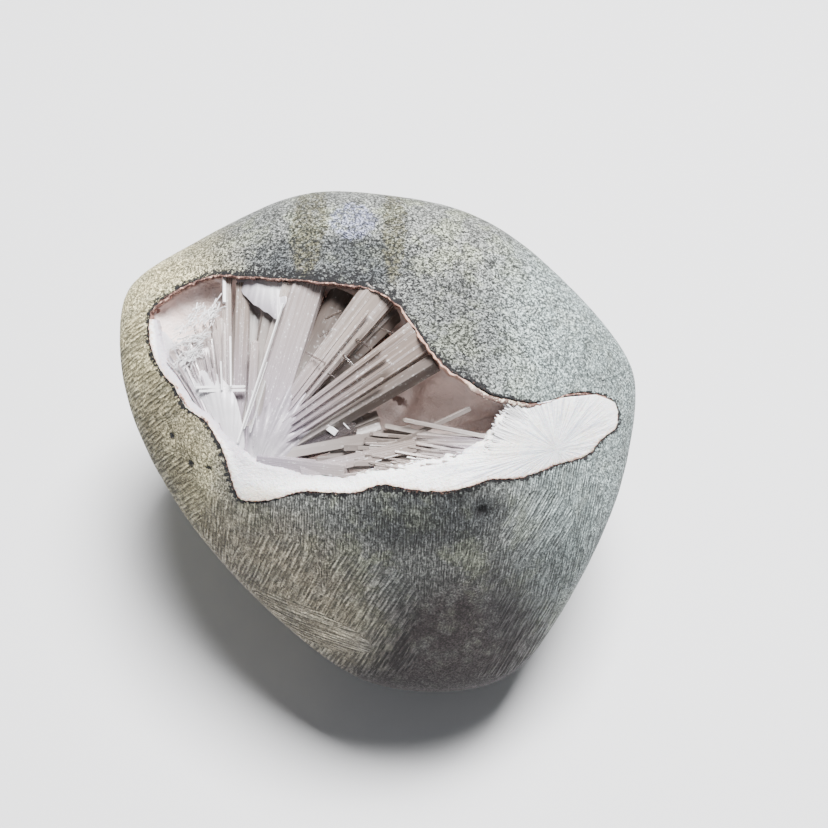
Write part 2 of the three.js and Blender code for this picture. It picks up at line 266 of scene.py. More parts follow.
@dataclass
class SphereGrid:
    """A closed ball of quads whose vertices know their turn and ring, ready to be placed."""

    turns: int
    rings: int
    mesh: bpy.types.Mesh = field(init=False)
    turn: np.ndarray = field(init=False)
    ring: np.ndarray = field(init=False)

    def __post_init__(self) -> None:
        """Rolls a grid up: its last column is welded to its first, and its end rows to points."""
        bm = bmesh.new()
        bmesh.ops.create_grid(bm, x_segments=self.turns, y_segments=self.rings, size=1.0)
        named = {self.station(v): v for v in bm.verts}
        welds = {}
        for (turn, ring), vert in named.items():
            goal = (0, ring) if ring in (0, self.rings) else (turn % self.turns, ring)
            if goal != (turn, ring):
                welds[vert] = named[goal]
        bmesh.ops.weld_verts(bm, targetmap=welds)
        self.mesh = bpy.data.meshes.new("grid")
        bm.to_mesh(self.mesh)
        bm.free()
        places = read_places(self.mesh)
        self.turn = np.rint((places[:, 0] + 1) / 2 * self.turns).astype(int) % self.turns
        self.ring = np.rint((places[:, 1] + 1) / 2 * self.rings).astype(int)

    def station(self, vert: bmesh.types.BMVert) -> tuple[int, int]:
        """Tells a flat grid vertex's turn and ring."""
        return round((vert.co.x + 1) / 2 * self.turns), round((vert.co.y + 1) / 2 * self.rings)


def read_places(mesh: bpy.types.Mesh) -> np.ndarray:
    """Reads a mesh's vertices, one a row."""
    flat = np.empty(len(mesh.vertices) * 3)
    mesh.vertices.foreach_get("co", flat)
    return flat.reshape(-1, 3)


def write_places(mesh: bpy.types.Mesh, places: np.ndarray) -> None:
    """Writes a mesh's vertices."""
    mesh.vertices.foreach_set("co", np.ascontiguousarray(places, dtype=np.float32).ravel())
    mesh.update()


def face_outwards(mesh: bpy.types.Mesh) -> None:
    """Turns a closed mesh's faces outwards."""
    bm = bmesh.new()
    bm.from_mesh(mesh)
    bmesh.ops.recalc_face_normals(bm, faces=bm.faces)
    if bm.calc_volume(signed=True) < 0.0:
        bmesh.ops.reverse_faces(bm, faces=bm.faces)
    bm.to_mesh(mesh)
    bm.free()


def vertex_normals(mesh: bpy.types.Mesh) -> np.ndarray:
    """Reads the smooth normal at each vertex."""
    flat = np.empty(len(mesh.vertices) * 3)
    mesh.vertices.foreach_get("normal", flat)
    return flat.reshape(-1, 3)


def note(mesh: bpy.types.Mesh, name: str, values: np.ndarray) -> None:
    """Keeps a value or a vector for each vertex as an attribute that a finish can read."""
    kind, key = ("FLOAT", "value") if values.ndim == 1 else ("FLOAT_VECTOR", "vector")
    layer = mesh.attributes.new(name=name, type=kind, domain="POINT")
    layer.data.foreach_set(key, np.ascontiguousarray(values, dtype=np.float32).ravel())


class Graph:
    """Adds shader nodes to one tree, with short calls."""

    def __init__(self, tree: bpy.types.NodeTree) -> None:
        """Keeps the tree."""
        self.tree = tree

    def node(self, kind: str, sockets: dict | None = None, **settings) -> bpy.types.Node:
        """Adds a node.

        Args:
            kind: The node's type name after ``ShaderNode``.
            sockets: Input name or number to a value or to the output that feeds it.
            **settings: The node's own settings.

        Returns:
            The new node.
        """
        made = self.tree.nodes.new("ShaderNode" + kind)
        for key, value in settings.items():
            setattr(made, key, value)
        for key, value in (sockets or {}).items():
            self.feed(made.inputs[key], value)
        return made

    def feed(self, socket: bpy.types.NodeSocket, value: object) -> None:
        """Links an output to a socket, or sets the socket's own value."""
        if isinstance(value, bpy.types.NodeSocket):
            self.tree.links.new(value, socket)
        elif isinstance(value, tuple) and socket.type == "RGBA":
            socket.default_value = (*value, 1.0)
        else:
            socket.default_value = value

    def window_place(self) -> bpy.types.NodeSocket:
        """Gives Object coordinates turned back to the window's frame, in millimetres."""
        coords = self.node("TexCoord").outputs["Object"]
        moved = self.node("Mapping", {"Vector": coords, "Scale": (1 / MM,) * 3,
                                      "Location": tuple(-m for m in MIDDLE)})
        turned = self.node("Mapping", {"Vector": moved.outputs[0], "Rotation": (-LAID_BACK, 0, 0)})
        return turned.outputs[0]

    def stretched(self, place: bpy.types.NodeSocket, turn: float, scale: Deep) -> bpy.types.NodeSocket:
        """Turns coordinates about the window's outward axis, then scales them."""
        turned = self.node("Mapping", {"Vector": place, "Rotation": (0, 0, math.radians(turn))})
        return self.node("Mapping", {"Vector": turned.outputs[0], "Scale": scale}).outputs[0]

    def noise(self, place: bpy.types.NodeSocket, scale: float, detail: float = 2.0,
              rough: float = 0.5) -> bpy.types.NodeSocket:
        """Gives noise from 0 to 1."""
        made = self.node("TexNoise", {"Vector": place, "Scale": scale, "Detail": detail,
                                      "Roughness": rough})
        return made.outputs["Fac"]

    def cells(self, place: bpy.types.NodeSocket, scale: float, out: str = "Color") -> bpy.types.NodeSocket:
        """Gives a Voronoi pattern's colour or distance."""
        return self.node("TexVoronoi", {"Vector": place, "Scale": scale}).outputs[out]

    def ragged(self, place: bpy.types.NodeSocket, scale: float, reach: float) -> bpy.types.NodeSocket:
        """Shifts coordinates about by noise, so that zones get uneven borders."""
        cloud = self.node("TexNoise", {"Vector": place, "Scale": scale, "Detail": 3.0})
        centred = self.node("VectorMath", {0: cloud.outputs["Color"], 1: (0.5, 0.5, 0.5)},
                            operation="SUBTRACT")
        return self.node("VectorMath", {0: centred.outputs[0], 1: (reach,) * 3, 2: place},
                         operation="MULTIPLY_ADD").outputs[0]

    def math(self, operation: str, *values: object, clamp: bool = False) -> bpy.types.NodeSocket:
        """Works out one arithmetic step."""
        sockets = dict(enumerate(values))
        return self.node("Math", sockets, operation=operation, use_clamp=clamp).outputs[0]

    def total(self, *terms: tuple[object, float]) -> bpy.types.NodeSocket:
        """Adds values up, each about its own middle of 0.5 and with its own weight."""
        result = None
        for value, weight in terms:
            centred = self.math("SUBTRACT", value, 0.5)
            part = self.math("MULTIPLY", centred, weight)
            result = part if result is None else self.math("ADD", result, part)
        return result

    def range(self, value: object, low: float, high: float, to_low: float = 0.0,
              to_high: float = 1.0) -> bpy.types.NodeSocket:
        """Maps a value from one range to another, smoothly and held at its ends."""
        made = self.node("MapRange", {0: value, 1: low, 2: high, 3: to_low, 4: to_high},
                         interpolation_type="SMOOTHSTEP")
        return made.outputs[0]

    def mix(self, share: object, first: object, second: object, blend: str = "MIX") -> bpy.types.NodeSocket:
        """Mixes two colours."""
        made = self.node("Mix", {0: share, 6: first, 7: second}, data_type="RGBA", blend_type=blend)
        return made.outputs[2]

    def attribute(self, name: str, out: str = "Fac") -> bpy.types.NodeSocket:
        """Reads an attribute of the piece's own mesh."""
        return self.node("Attribute", attribute_name=name).outputs[out]

    def bump(self, height: object, distance: float, strength: float = 1.0,
             onto: object | None = None) -> bpy.types.NodeSocket:
        """Turns heights into normals. The distance is in millimetres."""
        sockets = {"Height": height, "Strength": strength, "Distance": distance * MM}
        if onto is not None:
            sockets["Normal"] = onto
        return self.node("Bump", sockets).outputs[0]


@dataclass(frozen=True)
class Patch:
    """A soft-edged zone on the stone, as the ground surface shows it."""

    middle: Deep
    size: Deep
    turn: float = 0.0

    def mask(self, graph: Graph, place: bpy.types.NodeSocket) -> bpy.types.NodeSocket:
        """Gives 1 over the zone's inner half and 0 past its edge."""
        moved = graph.node("Mapping", {"Vector": place, "Location": tuple(-m for m in self.middle)})
        turned = graph.node("Mapping", {"Vector": moved.outputs[0],
                                        "Rotation": (0, 0, math.radians(-self.turn))})
        scaled = graph.node("Mapping", {"Vector": turned.outputs[0],
                                        "Scale": tuple(1 / s for s in self.size)})
        ball = graph.node("TexGradient", {"Vector": scaled.outputs[0]}, gradient_type="SPHERICAL")
        return graph.range(ball.outputs["Fac"], 0.0, 0.5)


def new_material(name: str) -> tuple[bpy.types.Material, Graph, bpy.types.Node]:
    """Starts a material.

    Args:
        name: The finish's name.

    Returns:
        The material, a graph on its tree and its Principled shader.
    """
    material = bpy.data.materials.new(name)
    material.use_nodes = True
    graph = Graph(material.node_tree)
    return material, graph, material.node_tree.nodes["Principled BSDF"]


class SharedEffects:
    """Node groups that several finishes place, each with its own values."""

    _made: dict[str, bpy.types.NodeTree] = {}

    @classmethod
    def silk(cls) -> bpy.types.NodeTree:
        """Gives fine fibres that run along the second axis of a crystal's grain, and painted glints on them."""
        if "silk" in cls._made:
            return cls._made["silk"]
        tree = bpy.data.node_groups.new("silk", "ShaderNodeTree")
        tree.interface.new_socket(name="Grain", in_out="INPUT", socket_type="NodeSocketVector")
        for name, value in (("Across", 6.0), ("Along", 0.35)):
            socket = tree.interface.new_socket(name=name, in_out="INPUT", socket_type="NodeSocketFloat")
            socket.default_value = value
        tree.interface.new_socket(name="Streaks", in_out="OUTPUT", socket_type="NodeSocketFloat")
        tree.interface.new_socket(name="Glints", in_out="OUTPUT", socket_type="NodeSocketFloat")
        graph = Graph(tree)
        given = tree.nodes.new("NodeGroupInput")
        scale = graph.node("CombineXYZ", {0: given.outputs["Across"], 1: given.outputs["Along"], 2: 1.0})
        place = graph.node("VectorMath", {0: given.outputs["Grain"], 1: scale.outputs[0]},
                           operation="MULTIPLY").outputs[0]
        streaks = graph.noise(place, 1.0, 4.0, 0.62)
        spots = graph.node("VectorMath", {0: given.outputs["Grain"], 1: (4.5, 2.6, 1.0)},
                           operation="MULTIPLY").outputs[0]
        broken = graph.range(graph.noise(spots, 1.0, 1.0, 0.5), 0.63, 0.68)
        glints = graph.math("MULTIPLY", graph.range(streaks, 0.46, 0.56), broken)
        result = tree.nodes.new("NodeGroupOutput")
        graph.feed(result.inputs["Streaks"], streaks)
        graph.feed(result.inputs["Glints"], glints)
        cls._made["silk"] = tree
        return tree

    @classmethod
    def place_silk(cls, graph: Graph, across: float, along: float) -> bpy.types.Node:
        """Places the fibres in a finish, fed by the piece's own grain."""
        made = graph.node("Group", node_tree=cls.silk())
        graph.feed(made.inputs["Grain"], graph.attribute("grain", "Vector"))
        graph.feed(made.inputs["Across"], across)
        graph.feed(made.inputs["Along"], along)
        return made


class Groove(Enum):
    """The sets of grinding grooves: where each lies, how it runs, how long and how close."""

    UNDER_WINDOW = (Patch((5.0, -12.0, 20.0), (34.0, 13.0, 24.0)), 87.0, 0.9, 4.6)
    RIGHT = (Patch((22.0, -14.0, 21.0), (15.0, 17.0, 14.0)), 79.0, 0.6, 4.4)
    RIGHT_CROSSED = (Patch((19.5, -9.5, 20.0), (6.0, 5.0, 9.0)), 58.0, 0.4, 3.6)
    LOW_SLANT = (Patch((-1.5, -21.0, 14.0), (9.5, 13.0, 18.0)), 59.0, 0.4, 2.7)
    LEFT_STEEP = (Patch((-18.5, -14.5, 18.0), (8.0, 11.0, 10.0)), 80.0, 0.45, 3.2)
    LEFT_SLANT = (Patch((-11.5, -16.5, 16.0), (8.0, 8.0, 14.0)), 62.0, 0.45, 2.8)
    LOW_SHALLOW = (Patch((-8.5, -21.5, 12.0), (11.0, 2.8, 18.0), -22.0), -19.0, 0.3, 4.2)
    LEFT_SHALLOW = (Patch((-25.5, -6.0, 12.0), (7.5, 6.5, 12.0)), 30.0, 0.45, 3.0)
    LOW_RIGHT = (Patch((17.0, -24.0, 14.0), (9.0, 8.0, 12.0)), 62.0, 0.45, 3.8)
    UPPER_LEFT = (Patch((-28.0, 8.0, 14.0), (7.0, 12.0, 11.0)), 34.0, 0.7, 2.6)
    BACK = (Patch((6.0, 4.0, -24.0), (26.0, 20.0, 16.0)), 28.0, 0.4, 2.6)
    BACK_LEFT = (Patch((-26.0, 6.0, -10.0), (16.0, 18.0, 15.0)), 12.0, 0.4, 2.6)


@dataclass(frozen=True)
class BasaltFinish:
    """Ground grey-green basalt: salt-and-pepper grain, grinding grooves, tinted zones and some painted shade."""

    mid: Deep = (0.116, 0.12, 0.113)
    dark: Deep = (0.008, 0.008, 0.009)
    yellowish: Deep = (0.33, 0.294, 0.172)
    brownish: Deep = (0.206, 0.181, 0.130)
    bluish: Deep = (0.175, 0.21, 0.207)
    greenish: Deep = (0.15, 0.16, 0.12)
    purplish: Deep = (0.02, 0.0145, 0.0145)
    olive: Deep = (0.05, 0.047, 0.027)
    violet: Deep = (0.12, 0.13, 0.22)
    slate: Deep = (0.022, 0.025, 0.028)
    rust: Deep = (0.17, 0.085, 0.06)

    def zones(self, graph: Graph, place: bpy.types.NodeSocket) -> bpy.types.NodeSocket:
        """Tints the stone's zones over its base colour; some tints also paint shade."""
        cloud = graph.noise(place, 0.42, 4.0, 0.68)
        borders = graph.ragged(place, 0.45, 3.6)
        near = graph.ragged(place, 1.1, 2.0)
        speckle = graph.noise(place, 1.8, 2.0, 0.6)
        tints = (
            (Patch((-31, 4, 5), (21, 36, 40)), self.yellowish, 1.0),
            (Patch((-14, -22, 8), (20, 20, 34)), self.brownish, 1.0),
            (Patch((31, 4, 8), (24, 36, 34)), self.bluish, 1.0),
            (Patch((-16, 25, 10), (12, 7, 12)), self.slate, 0.3),
            # The two dark purplish patches low in front are partly a dark stain and partly painted shadow.
            (Patch((10, -25, 12), (14, 15, 20)), self.purplish, 1.0),
            (Patch((5, -32, 5), (24, 9, 24)), self.purplish, 1.0),
            (Patch((6.5, -8, 24), (13, 5, 8)), self.slate, 0.75),
            (Patch((2, -15, 20), (12, 10, 14)), self.purplish, 0.12),
            (Patch((19, -17, 16), (9, 10, 14)), self.slate, 0.3),
            (Patch((-25, 0.5, 12), (7, 10, 14)), self.purplish, 0.5),
            # The slate band just above the window is partly a slate tint and partly painted shade along the rim.
            (Patch((-5, 21.5, 15), (13, 5.5, 10)), self.slate, 0.85),
            (Patch((9, 13, 20), (10, 11, 12)), self.slate, 0.5),
        )
        stains = (
            (Patch((-8.2, 28, 12), (2.6, 12, 20)), self.olive, 0.8),
            (Patch((2.3, 27, 12), (1.7, 11, 20)), self.olive, 0.8),
            (Patch((-2.8, 27.4, 12), (3.6, 3.2, 10)), self.violet, 0.6),
        )
        green = graph.range(graph.noise(place, 0.2, 4.0, 0.7), 0.46, 0.6, 0.0, 0.8)
        base = graph.mix(green, self.mid, self.greenish)
        for patch, colour, strength in tints:
            share = graph.math("MULTIPLY", patch.mask(graph, borders), strength)
            share = graph.math("MULTIPLY", share, graph.range(cloud, 0.34, 0.58, 0.7, 1.0), clamp=True)
            base = graph.mix(share, base, colour)
        for patch, colour, strength in stains:
            share = graph.math("MULTIPLY", graph.range(patch.mask(graph, near), 0.05, 0.7), strength)
            base = graph.mix(graph.math("MULTIPLY", share, graph.range(speckle, 0.4, 0.56, 0.35, 1.0)), base, colour)
        # Painted shade: the first four pits are darkened nearly to black inside.
        for x, y, radius, _ in PITS[:4]:
            hole = Patch((x, y, STONE.height(np.array([[x, y]]))[0]), (radius * 1.4,) * 3)
            base = graph.mix(hole.mask(graph, graph.ragged(place, 1.6, 0.7)), base, self.dark)
        return base

    def coarseness(self, graph: Graph, place: bpy.types.NodeSocket) -> bpy.types.NodeSocket:
        """Gives how strongly the grain shows: most above the window, least low on the right."""
        strong = Patch((-2, 16, 18), (32, 18, 24)).mask(graph, place)
        smooth = Patch((10, -27, 10), (20, 16, 24)).mask(graph, place)
        share = graph.math("ADD", graph.math("MULTIPLY", strong, 0.6), 0.62)
        return graph.math("SUBTRACT", share, graph.math("MULTIPLY", smooth, 0.3))

    def grooves(self, graph: Graph, place: bpy.types.NodeSocket) -> tuple:
        """Gives the height of the grinding grooves, and how much of the surface they take up."""
        height, taken = 0.0, 0.0
        border = graph.noise(place, 0.28, 3.0)
        near = graph.ragged(place, 0.5, 2.4)
        smooth = graph.math("MAXIMUM", Patch((9.8, -22.0, 12.0), (7.0, 9.5, 18.0)).mask(graph, near),
                            Patch((5.0, -32.0, 5.0), (14.0, 6.0, 20.0)).mask(graph, near))
        worn = graph.range(smooth, 0.15, 0.5, 1.0, 0.12)
        for groove in Groove:
            patch, turn, along, across = groove.value
            stretched = graph.stretched(place, -turn, (along, across, along))
            comb = graph.node("TexWave", {"Vector": stretched, "Scale": 0.22, "Distortion": 4.0, "Detail": 2.0,
                                          "Detail Scale": 1.2}, bands_direction="Y").outputs["Fac"]
            lines = graph.range(graph.noise(stretched, 1.15, 1.0, 0.5), 0.42, 0.58)
            lines = graph.math("ADD", graph.math("MULTIPLY", lines, 0.6), graph.math("MULTIPLY", comb, 0.4))
            ragged = graph.math("MULTIPLY", patch.mask(graph, place), graph.range(border, 0.3, 0.6, 0.4, 1.4))
            share = graph.math("MULTIPLY", graph.range(ragged, 0.25, 0.5), worn)
            part = graph.math("SUBTRACT", graph.math("SUBTRACT", lines, 0.5), height)
            height = graph.math("ADD", height, graph.math("MULTIPLY", part, share))
            taken = graph.math("MAXIMUM", taken, share)
        return height, taken

    def make(self) -> bpy.types.Material:
        """Builds the material."""
        material, graph, shader = new_material("ground_basalt")
        place = graph.window_place()
        small = graph.node("SeparateColor", {0: graph.cells(place, 4.6)}).outputs[0]
        large = graph.node("SeparateColor", {0: graph.cells(place, 2.1)}).outputs[0]
        fine = graph.noise(place, 4.4, 3.0, 0.75)
        grooves, taken = self.grooves(graph, place)
        grain = graph.total((small, 1.3), (large, 0.4), (fine, 6.0))
        grain = graph.math("MULTIPLY", grain, self.coarseness(graph, place))
        grain = graph.math("MULTIPLY", grain, graph.range(taken, 0.0, 1.0, 1.0, 0.55))
        # The grooves also lighten and darken the colour: partly scratch marks, partly painted shade of their relief.
        salt = graph.math("ADD", grain, graph.math("MULTIPLY", grooves, 0.75))
        depth = graph.math("EXPONENT", graph.math("MULTIPLY", graph.math("MINIMUM", salt, 0.72), 1.9))
        base = self.zones(graph, place)
        colour = graph.mix(1.0, base, depth, "MULTIPLY")
        above = Patch((-4, 21, 16), (22, 8, 14)).mask(graph, place)
        # Black speckle: dark grains all over the stone, with more above the window as painted shade.
        black = graph.range(graph.noise(place, 2.3, 3.0, 0.7), 0.53, 0.6, 0.0, 0.7)
        black = graph.math("MULTIPLY", black, graph.math("ADD", above, 0.3), clamp=True)
        colour = graph.mix(black, colour, self.dark)
        # A dark line along the rim, partly chips and partly painted shade in the recess where the rock meets the rind;
        # it reaches further above the window.
        edge = graph.attribute("edge")
        reach = graph.range(graph.noise(place, 2.0, 3.0, 0.6), 0.38, 0.6, 0.1, 1.0)
        reach = graph.math("MULTIPLY", reach, graph.math("ADD", graph.math("MULTIPLY", above, 1.4), 1.0))
        rimmed = graph.range(graph.math("SUBTRACT", edge, reach), -0.2, 0.15, 0.975, 0.0)
        colour = graph.mix(rimmed, colour, self.dark)
        specks = graph.range(graph.noise(place, 1.7, 2.0), 0.5, 0.6)
        rusty = graph.math("MULTIPLY", graph.range(edge, 0.02, 0.35, 0.7, 0.0), specks)
        colour = graph.mix(rusty, colour, self.rust)
        # The very rim is darkened along a jagged line, partly chips and partly painted shade.
        jagged = graph.math("ADD", edge, graph.range(graph.noise(place, 2.6, 2.0, 0.6), 0.35, 0.65, -0.3, 0.3))
        colour = graph.mix(graph.range(jagged, 0.15, 0.35, 0.98, 0.0), colour, self.dark)
        height = graph.total((fine, 1.1), (small, 0.35))
        height = graph.math("ADD", height, graph.math("MULTIPLY", grooves, 2.0))
        graph.feed(shader.inputs["Base Color"], colour)
        graph.feed(shader.inputs["Roughness"], graph.range(salt, -0.2, 0.3, 0.8, 0.55))
        graph.feed(shader.inputs["Normal"], graph.bump(height, 0.22, 1.0))
        shader.inputs["Specular IOR Level"].default_value = 0.3
        return material


@dataclass(frozen=True)
class RindFinish:
    """The vug's thin skin: peach at the rim, pink-tan and lumpy on the wall with brown flecks, painted brown shade in
    its crevice, low spots and deep parts, and a painted lit patch on the right.
    """

    wall: Deep = (0.76, 0.60, 0.55)
    pale: Deep = (0.82, 0.70, 0.67)
    rim: Deep = (0.58, 0.33, 0.25)
    lit: Deep = (0.99, 0.82, 0.76)
    cream: Deep = (0.72, 0.62, 0.50)
    brown: Deep = (0.15, 0.085, 0.07)
    deep: Deep = (0.34, 0.27, 0.22)

    def make(self) -> bpy.types.Material:
        """Builds the material."""
        material, graph, shader = new_material("pink_rind")
        place = graph.window_place()
        height_above = graph.node("SeparateXYZ", {0: place}).outputs[2]
        cloud = graph.noise(place, 0.45, 4.0, 0.6)
        fine = graph.noise(place, 2.6, 4.0, 0.65)
        grit = graph.noise(place, 3.4, 3.0, 0.7)
        lip = graph.attribute("edge")
        sunk = graph.attribute("sunk")
        mottled = graph.mix(graph.range(cloud, 0.38, 0.62), self.wall, self.pale)
        mottled = graph.mix(graph.range(fine, 0.52, 0.75, 0.0, 0.25), mottled, self.brown)
        # Painted shade: the lumps' low spots turn brown.
        veiled = graph.math("ADD", sunk, graph.math("MULTIPLY", graph.math("SUBTRACT", fine, 0.5), 0.5))
        mottled = graph.mix(graph.range(veiled, 0.86, 1.1, 0.0, 0.7), mottled, self.brown)
        # Painted shade: the wall turns darker and browner deeper in the hollow.
        mottled = graph.mix(graph.range(height_above, 6.0, 14.5, 0.2, 0.0), mottled, self.deep)
        borders = graph.ragged(place, 0.7, 1.6)
        right = Patch((8.5, 5.5, 12.0), (7.5, 6.5, 12.0)).mask(graph, borders)
        mottled = graph.mix(graph.math("MULTIPLY", right, 0.95), mottled, self.lit)
        for patch, strength in (
            (Patch((2.6, 5.4, 10.0), (2.0, 0.55, 12.0), -30.0), 0.95),
            (Patch((12.2, 3.9, 12.0), (2.0, 1.4, 12.0)), 0.3),
            (Patch((6.5, 2.0, 10.0), (3.4, 1.2, 12.0)), 0.35),
            (Patch((0.6, 2.6, 10.0), (3.4, 3.0, 12.0)), 0.5),
        ):
            shade = graph.math("MULTIPLY", patch.mask(graph, borders), strength)
            mottled = graph.mix(shade, mottled, self.brown)
        creamy = Patch((14.0, 5.2, 23.0), (6.0, 3.5, 6.0)).mask(graph, place)
        edge = graph.mix(creamy, self.rim, self.cream)
        edge = graph.mix(graph.range(grit, 0.46, 0.36, 0.0, 0.6), edge, (0.8, 0.7, 0.62))
        smooth = Patch((6.5, 10.5, 20.0), (9.5, 8.0, 12.0)).mask(graph, place)
        grains = graph.range(graph.noise(place, 1.9, 3.0, 0.7), 0.4, 0.51, 0.0, 0.95)
        grains = graph.math("MULTIPLY", grains, graph.range(smooth, 0.1, 0.5, 1.0, 0.25))
        edge = graph.mix(grains, edge, (0.09, 0.04, 0.033))
        colour = graph.mix(graph.range(lip, 0.3, 0.9), mottled, edge)
        graph.feed(shader.inputs["Base Color"], colour)
        graph.feed(shader.inputs["Roughness"], graph.range(fine, 0.3, 0.7, 0.75, 0.5))
        height = graph.total((fine, 1.0), (cloud, 1.0), (grit, 0.6))
        graph.feed(shader.inputs["Normal"], graph.bump(height, 0.2, 0.8))
        return material


@dataclass(frozen=True)
class CrystalFinish:
    """Scolecite, from glass-clear to milky: silky streaks along its length and bright glints, which are painted
    highlights.
    """

    name: str
    clear: Deep
    milky: Deep
    transmission: float
    roughness: float = 0.12
    streak: float = 0.5
    across: float = 5.0
    bump: float = 0.03
    foot: Deep = (0.445, 0.39, 0.46)
    brown: Deep = (0.30, 0.235, 0.195)
    glint: float = 0.85
    ior: float = 1.515

    def make(self) -> bpy.types.Material:
        """Builds the material."""
        material, graph, shader = new_material(self.name)
        silk = SharedEffects.place_silk(graph, self.across, 0.08)
        streaks = silk.outputs["Streaks"]
        body = graph.mix(graph.range(graph.attribute("tone"), 0.1, 1.1, 0.0, 0.9), self.clear, self.brown)
        body = graph.mix(graph.range(streaks, 0.46, 0.7, 0.0, self.streak), body, self.milky)
        body = graph.mix(graph.attribute("milk"), body, self.foot)
        # Painted highlight: the glints turn the colour white in small spots along the streaks.
        body = graph.mix(graph.math("MULTIPLY", silk.outputs["Glints"], self.glint), body, (1.0, 1.0, 1.0))
        rough = graph.range(streaks, 0.35, 0.7, self.roughness, self.roughness + 0.25)
        graph.feed(shader.inputs["Base Color"], body)
        graph.feed(shader.inputs["Roughness"], rough)
        graph.feed(shader.inputs["Normal"], graph.bump(streaks, self.bump, 0.8))
        shader.inputs["Transmission Weight"].default_value = self.transmission
        shader.inputs["IOR"].default_value = self.ior
        return material


@dataclass(frozen=True)
class SeamFinish:
    """Massive white scolecite, ground flush: silky fibres, faint warm and grey clouds, small pits."""

    white: Deep = (0.96, 0.955, 0.955)
    warm: Deep = (0.86, 0.78, 0.66)
    cool: Deep = (0.42, 0.45, 0.54)
    veiled: Deep = (0.52, 0.485, 0.535)
    peach: Deep = (0.74, 0.55, 0.43)

    def make(self) -> bpy.types.Material:
        """Builds the material."""
        material, graph, shader = new_material("white_seam")
        place = graph.window_place()
        streaks = SharedEffects.place_silk(graph, 3.2, 0.22).outputs["Streaks"]
        broad = SharedEffects.place_silk(graph, 1.1, 0.12).outputs["Streaks"]
        streaks = graph.math("MULTIPLY", graph.math("ADD", streaks, broad), 0.5)
        cloud = graph.noise(place, 0.5, 4.0, 0.6)
        fine = graph.noise(place, 3.0, 3.0, 0.65)
        colour = graph.mix(graph.range(cloud, 0.5, 0.72, 0.0, 0.6), self.white, self.warm)
        lobe = Patch((20.0, 0.0, 22.0), (18.0, 9.0, 20.0)).mask(graph, place)
        fanned = graph.math("MULTIPLY", graph.range(streaks, 0.46, 0.57, 0.0, 0.85), lobe)
        colour = graph.mix(fanned, colour, self.cool)
        pits = graph.range(fine, 0.58, 0.7)
        colour = graph.mix(graph.math("MULTIPLY", pits, 0.4), colour, self.warm)
        creamy = Patch((-14.0, -6.0, 24.0), (5.0, 2.0, 6.0)).mask(graph, graph.ragged(place, 0.8, 1.6))
        colour = graph.mix(graph.math("MULTIPLY", creamy, 0.9), colour, self.warm)
        tufted = Patch((14.5, 0.8, 24.0), (4.5, 3.6, 8.0)).mask(graph, graph.ragged(place, 0.8, 1.6))
        colour = graph.mix(graph.math("MULTIPLY", tufted, 0.4), colour, self.warm)
        colour = graph.mix(graph.attribute("slope"), colour, self.veiled)
        border = graph.math("SUBTRACT", graph.attribute("edge"), graph.range(fine, 0.4, 0.62, 0.0, 0.35))
        colour = graph.mix(graph.range(border, -0.1, 0.25, 0.8, 0.0), colour, self.peach)
        height = graph.total((streaks, 1.2), (fine, 0.9), (pits, -0.4))
        graph.feed(shader.inputs["Base Color"], colour)
        graph.feed(shader.inputs["Roughness"], graph.range(streaks, 0.3, 0.7, 0.35, 0.6))
        graph.feed(shader.inputs["Normal"], graph.bump(height, 0.2, 1.0))
        shader.inputs["Subsurface Weight"].default_value = 0.2
        shader.inputs["Subsurface Scale"].default_value = 0.4 * MM
        shader.inputs["IOR"].default_value = 1.515
        return material


@dataclass(frozen=True)
class FloorFinish:
    """A plain pale studio floor with the faintest unevenness."""

    colour: Deep = (0.6, 0.6, 0.61)

    def make(self) -> bpy.types.Material:
        """Builds the material."""
        material, graph, shader = new_material("studio_floor")
        coords = graph.node("TexCoord").outputs["Object"]
        cloud = graph.noise(coords, 9.0, 2.0)
        graph.feed(shader.inputs["Base Color"], graph.mix(cloud, self.colour, (0.58, 0.58, 0.59)))
        shader.inputs["Roughness"].default_value = 0.65
        return material


def finished_piece(name: str, mesh: bpy.types.Mesh, material: bpy.types.Material, node: str,
                   smooth: bool = True) -> bpy.types.Object:
    """Stands a mesh in the scene as a piece of the specimen.

    Args:
        name: The piece's name.
        mesh: Its mesh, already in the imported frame.
        material: Its finish.
        node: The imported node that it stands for.
        smooth: Whether its faces are shaded smooth.

    Returns:
        The object.
    """
    mesh.name = name
    mesh.materials.clear()
    mesh.materials.append(material)
    mesh.shade_smooth() if smooth else mesh.shade_flat()
    piece = bpy.data.objects.new(name, mesh)
    bpy.context.scene.collection.objects.link(piece)
    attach(piece, "root")
    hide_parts(node)
    log.info("%s: %d vertices, stands for %s", name, len(mesh.vertices), node)
    return piece


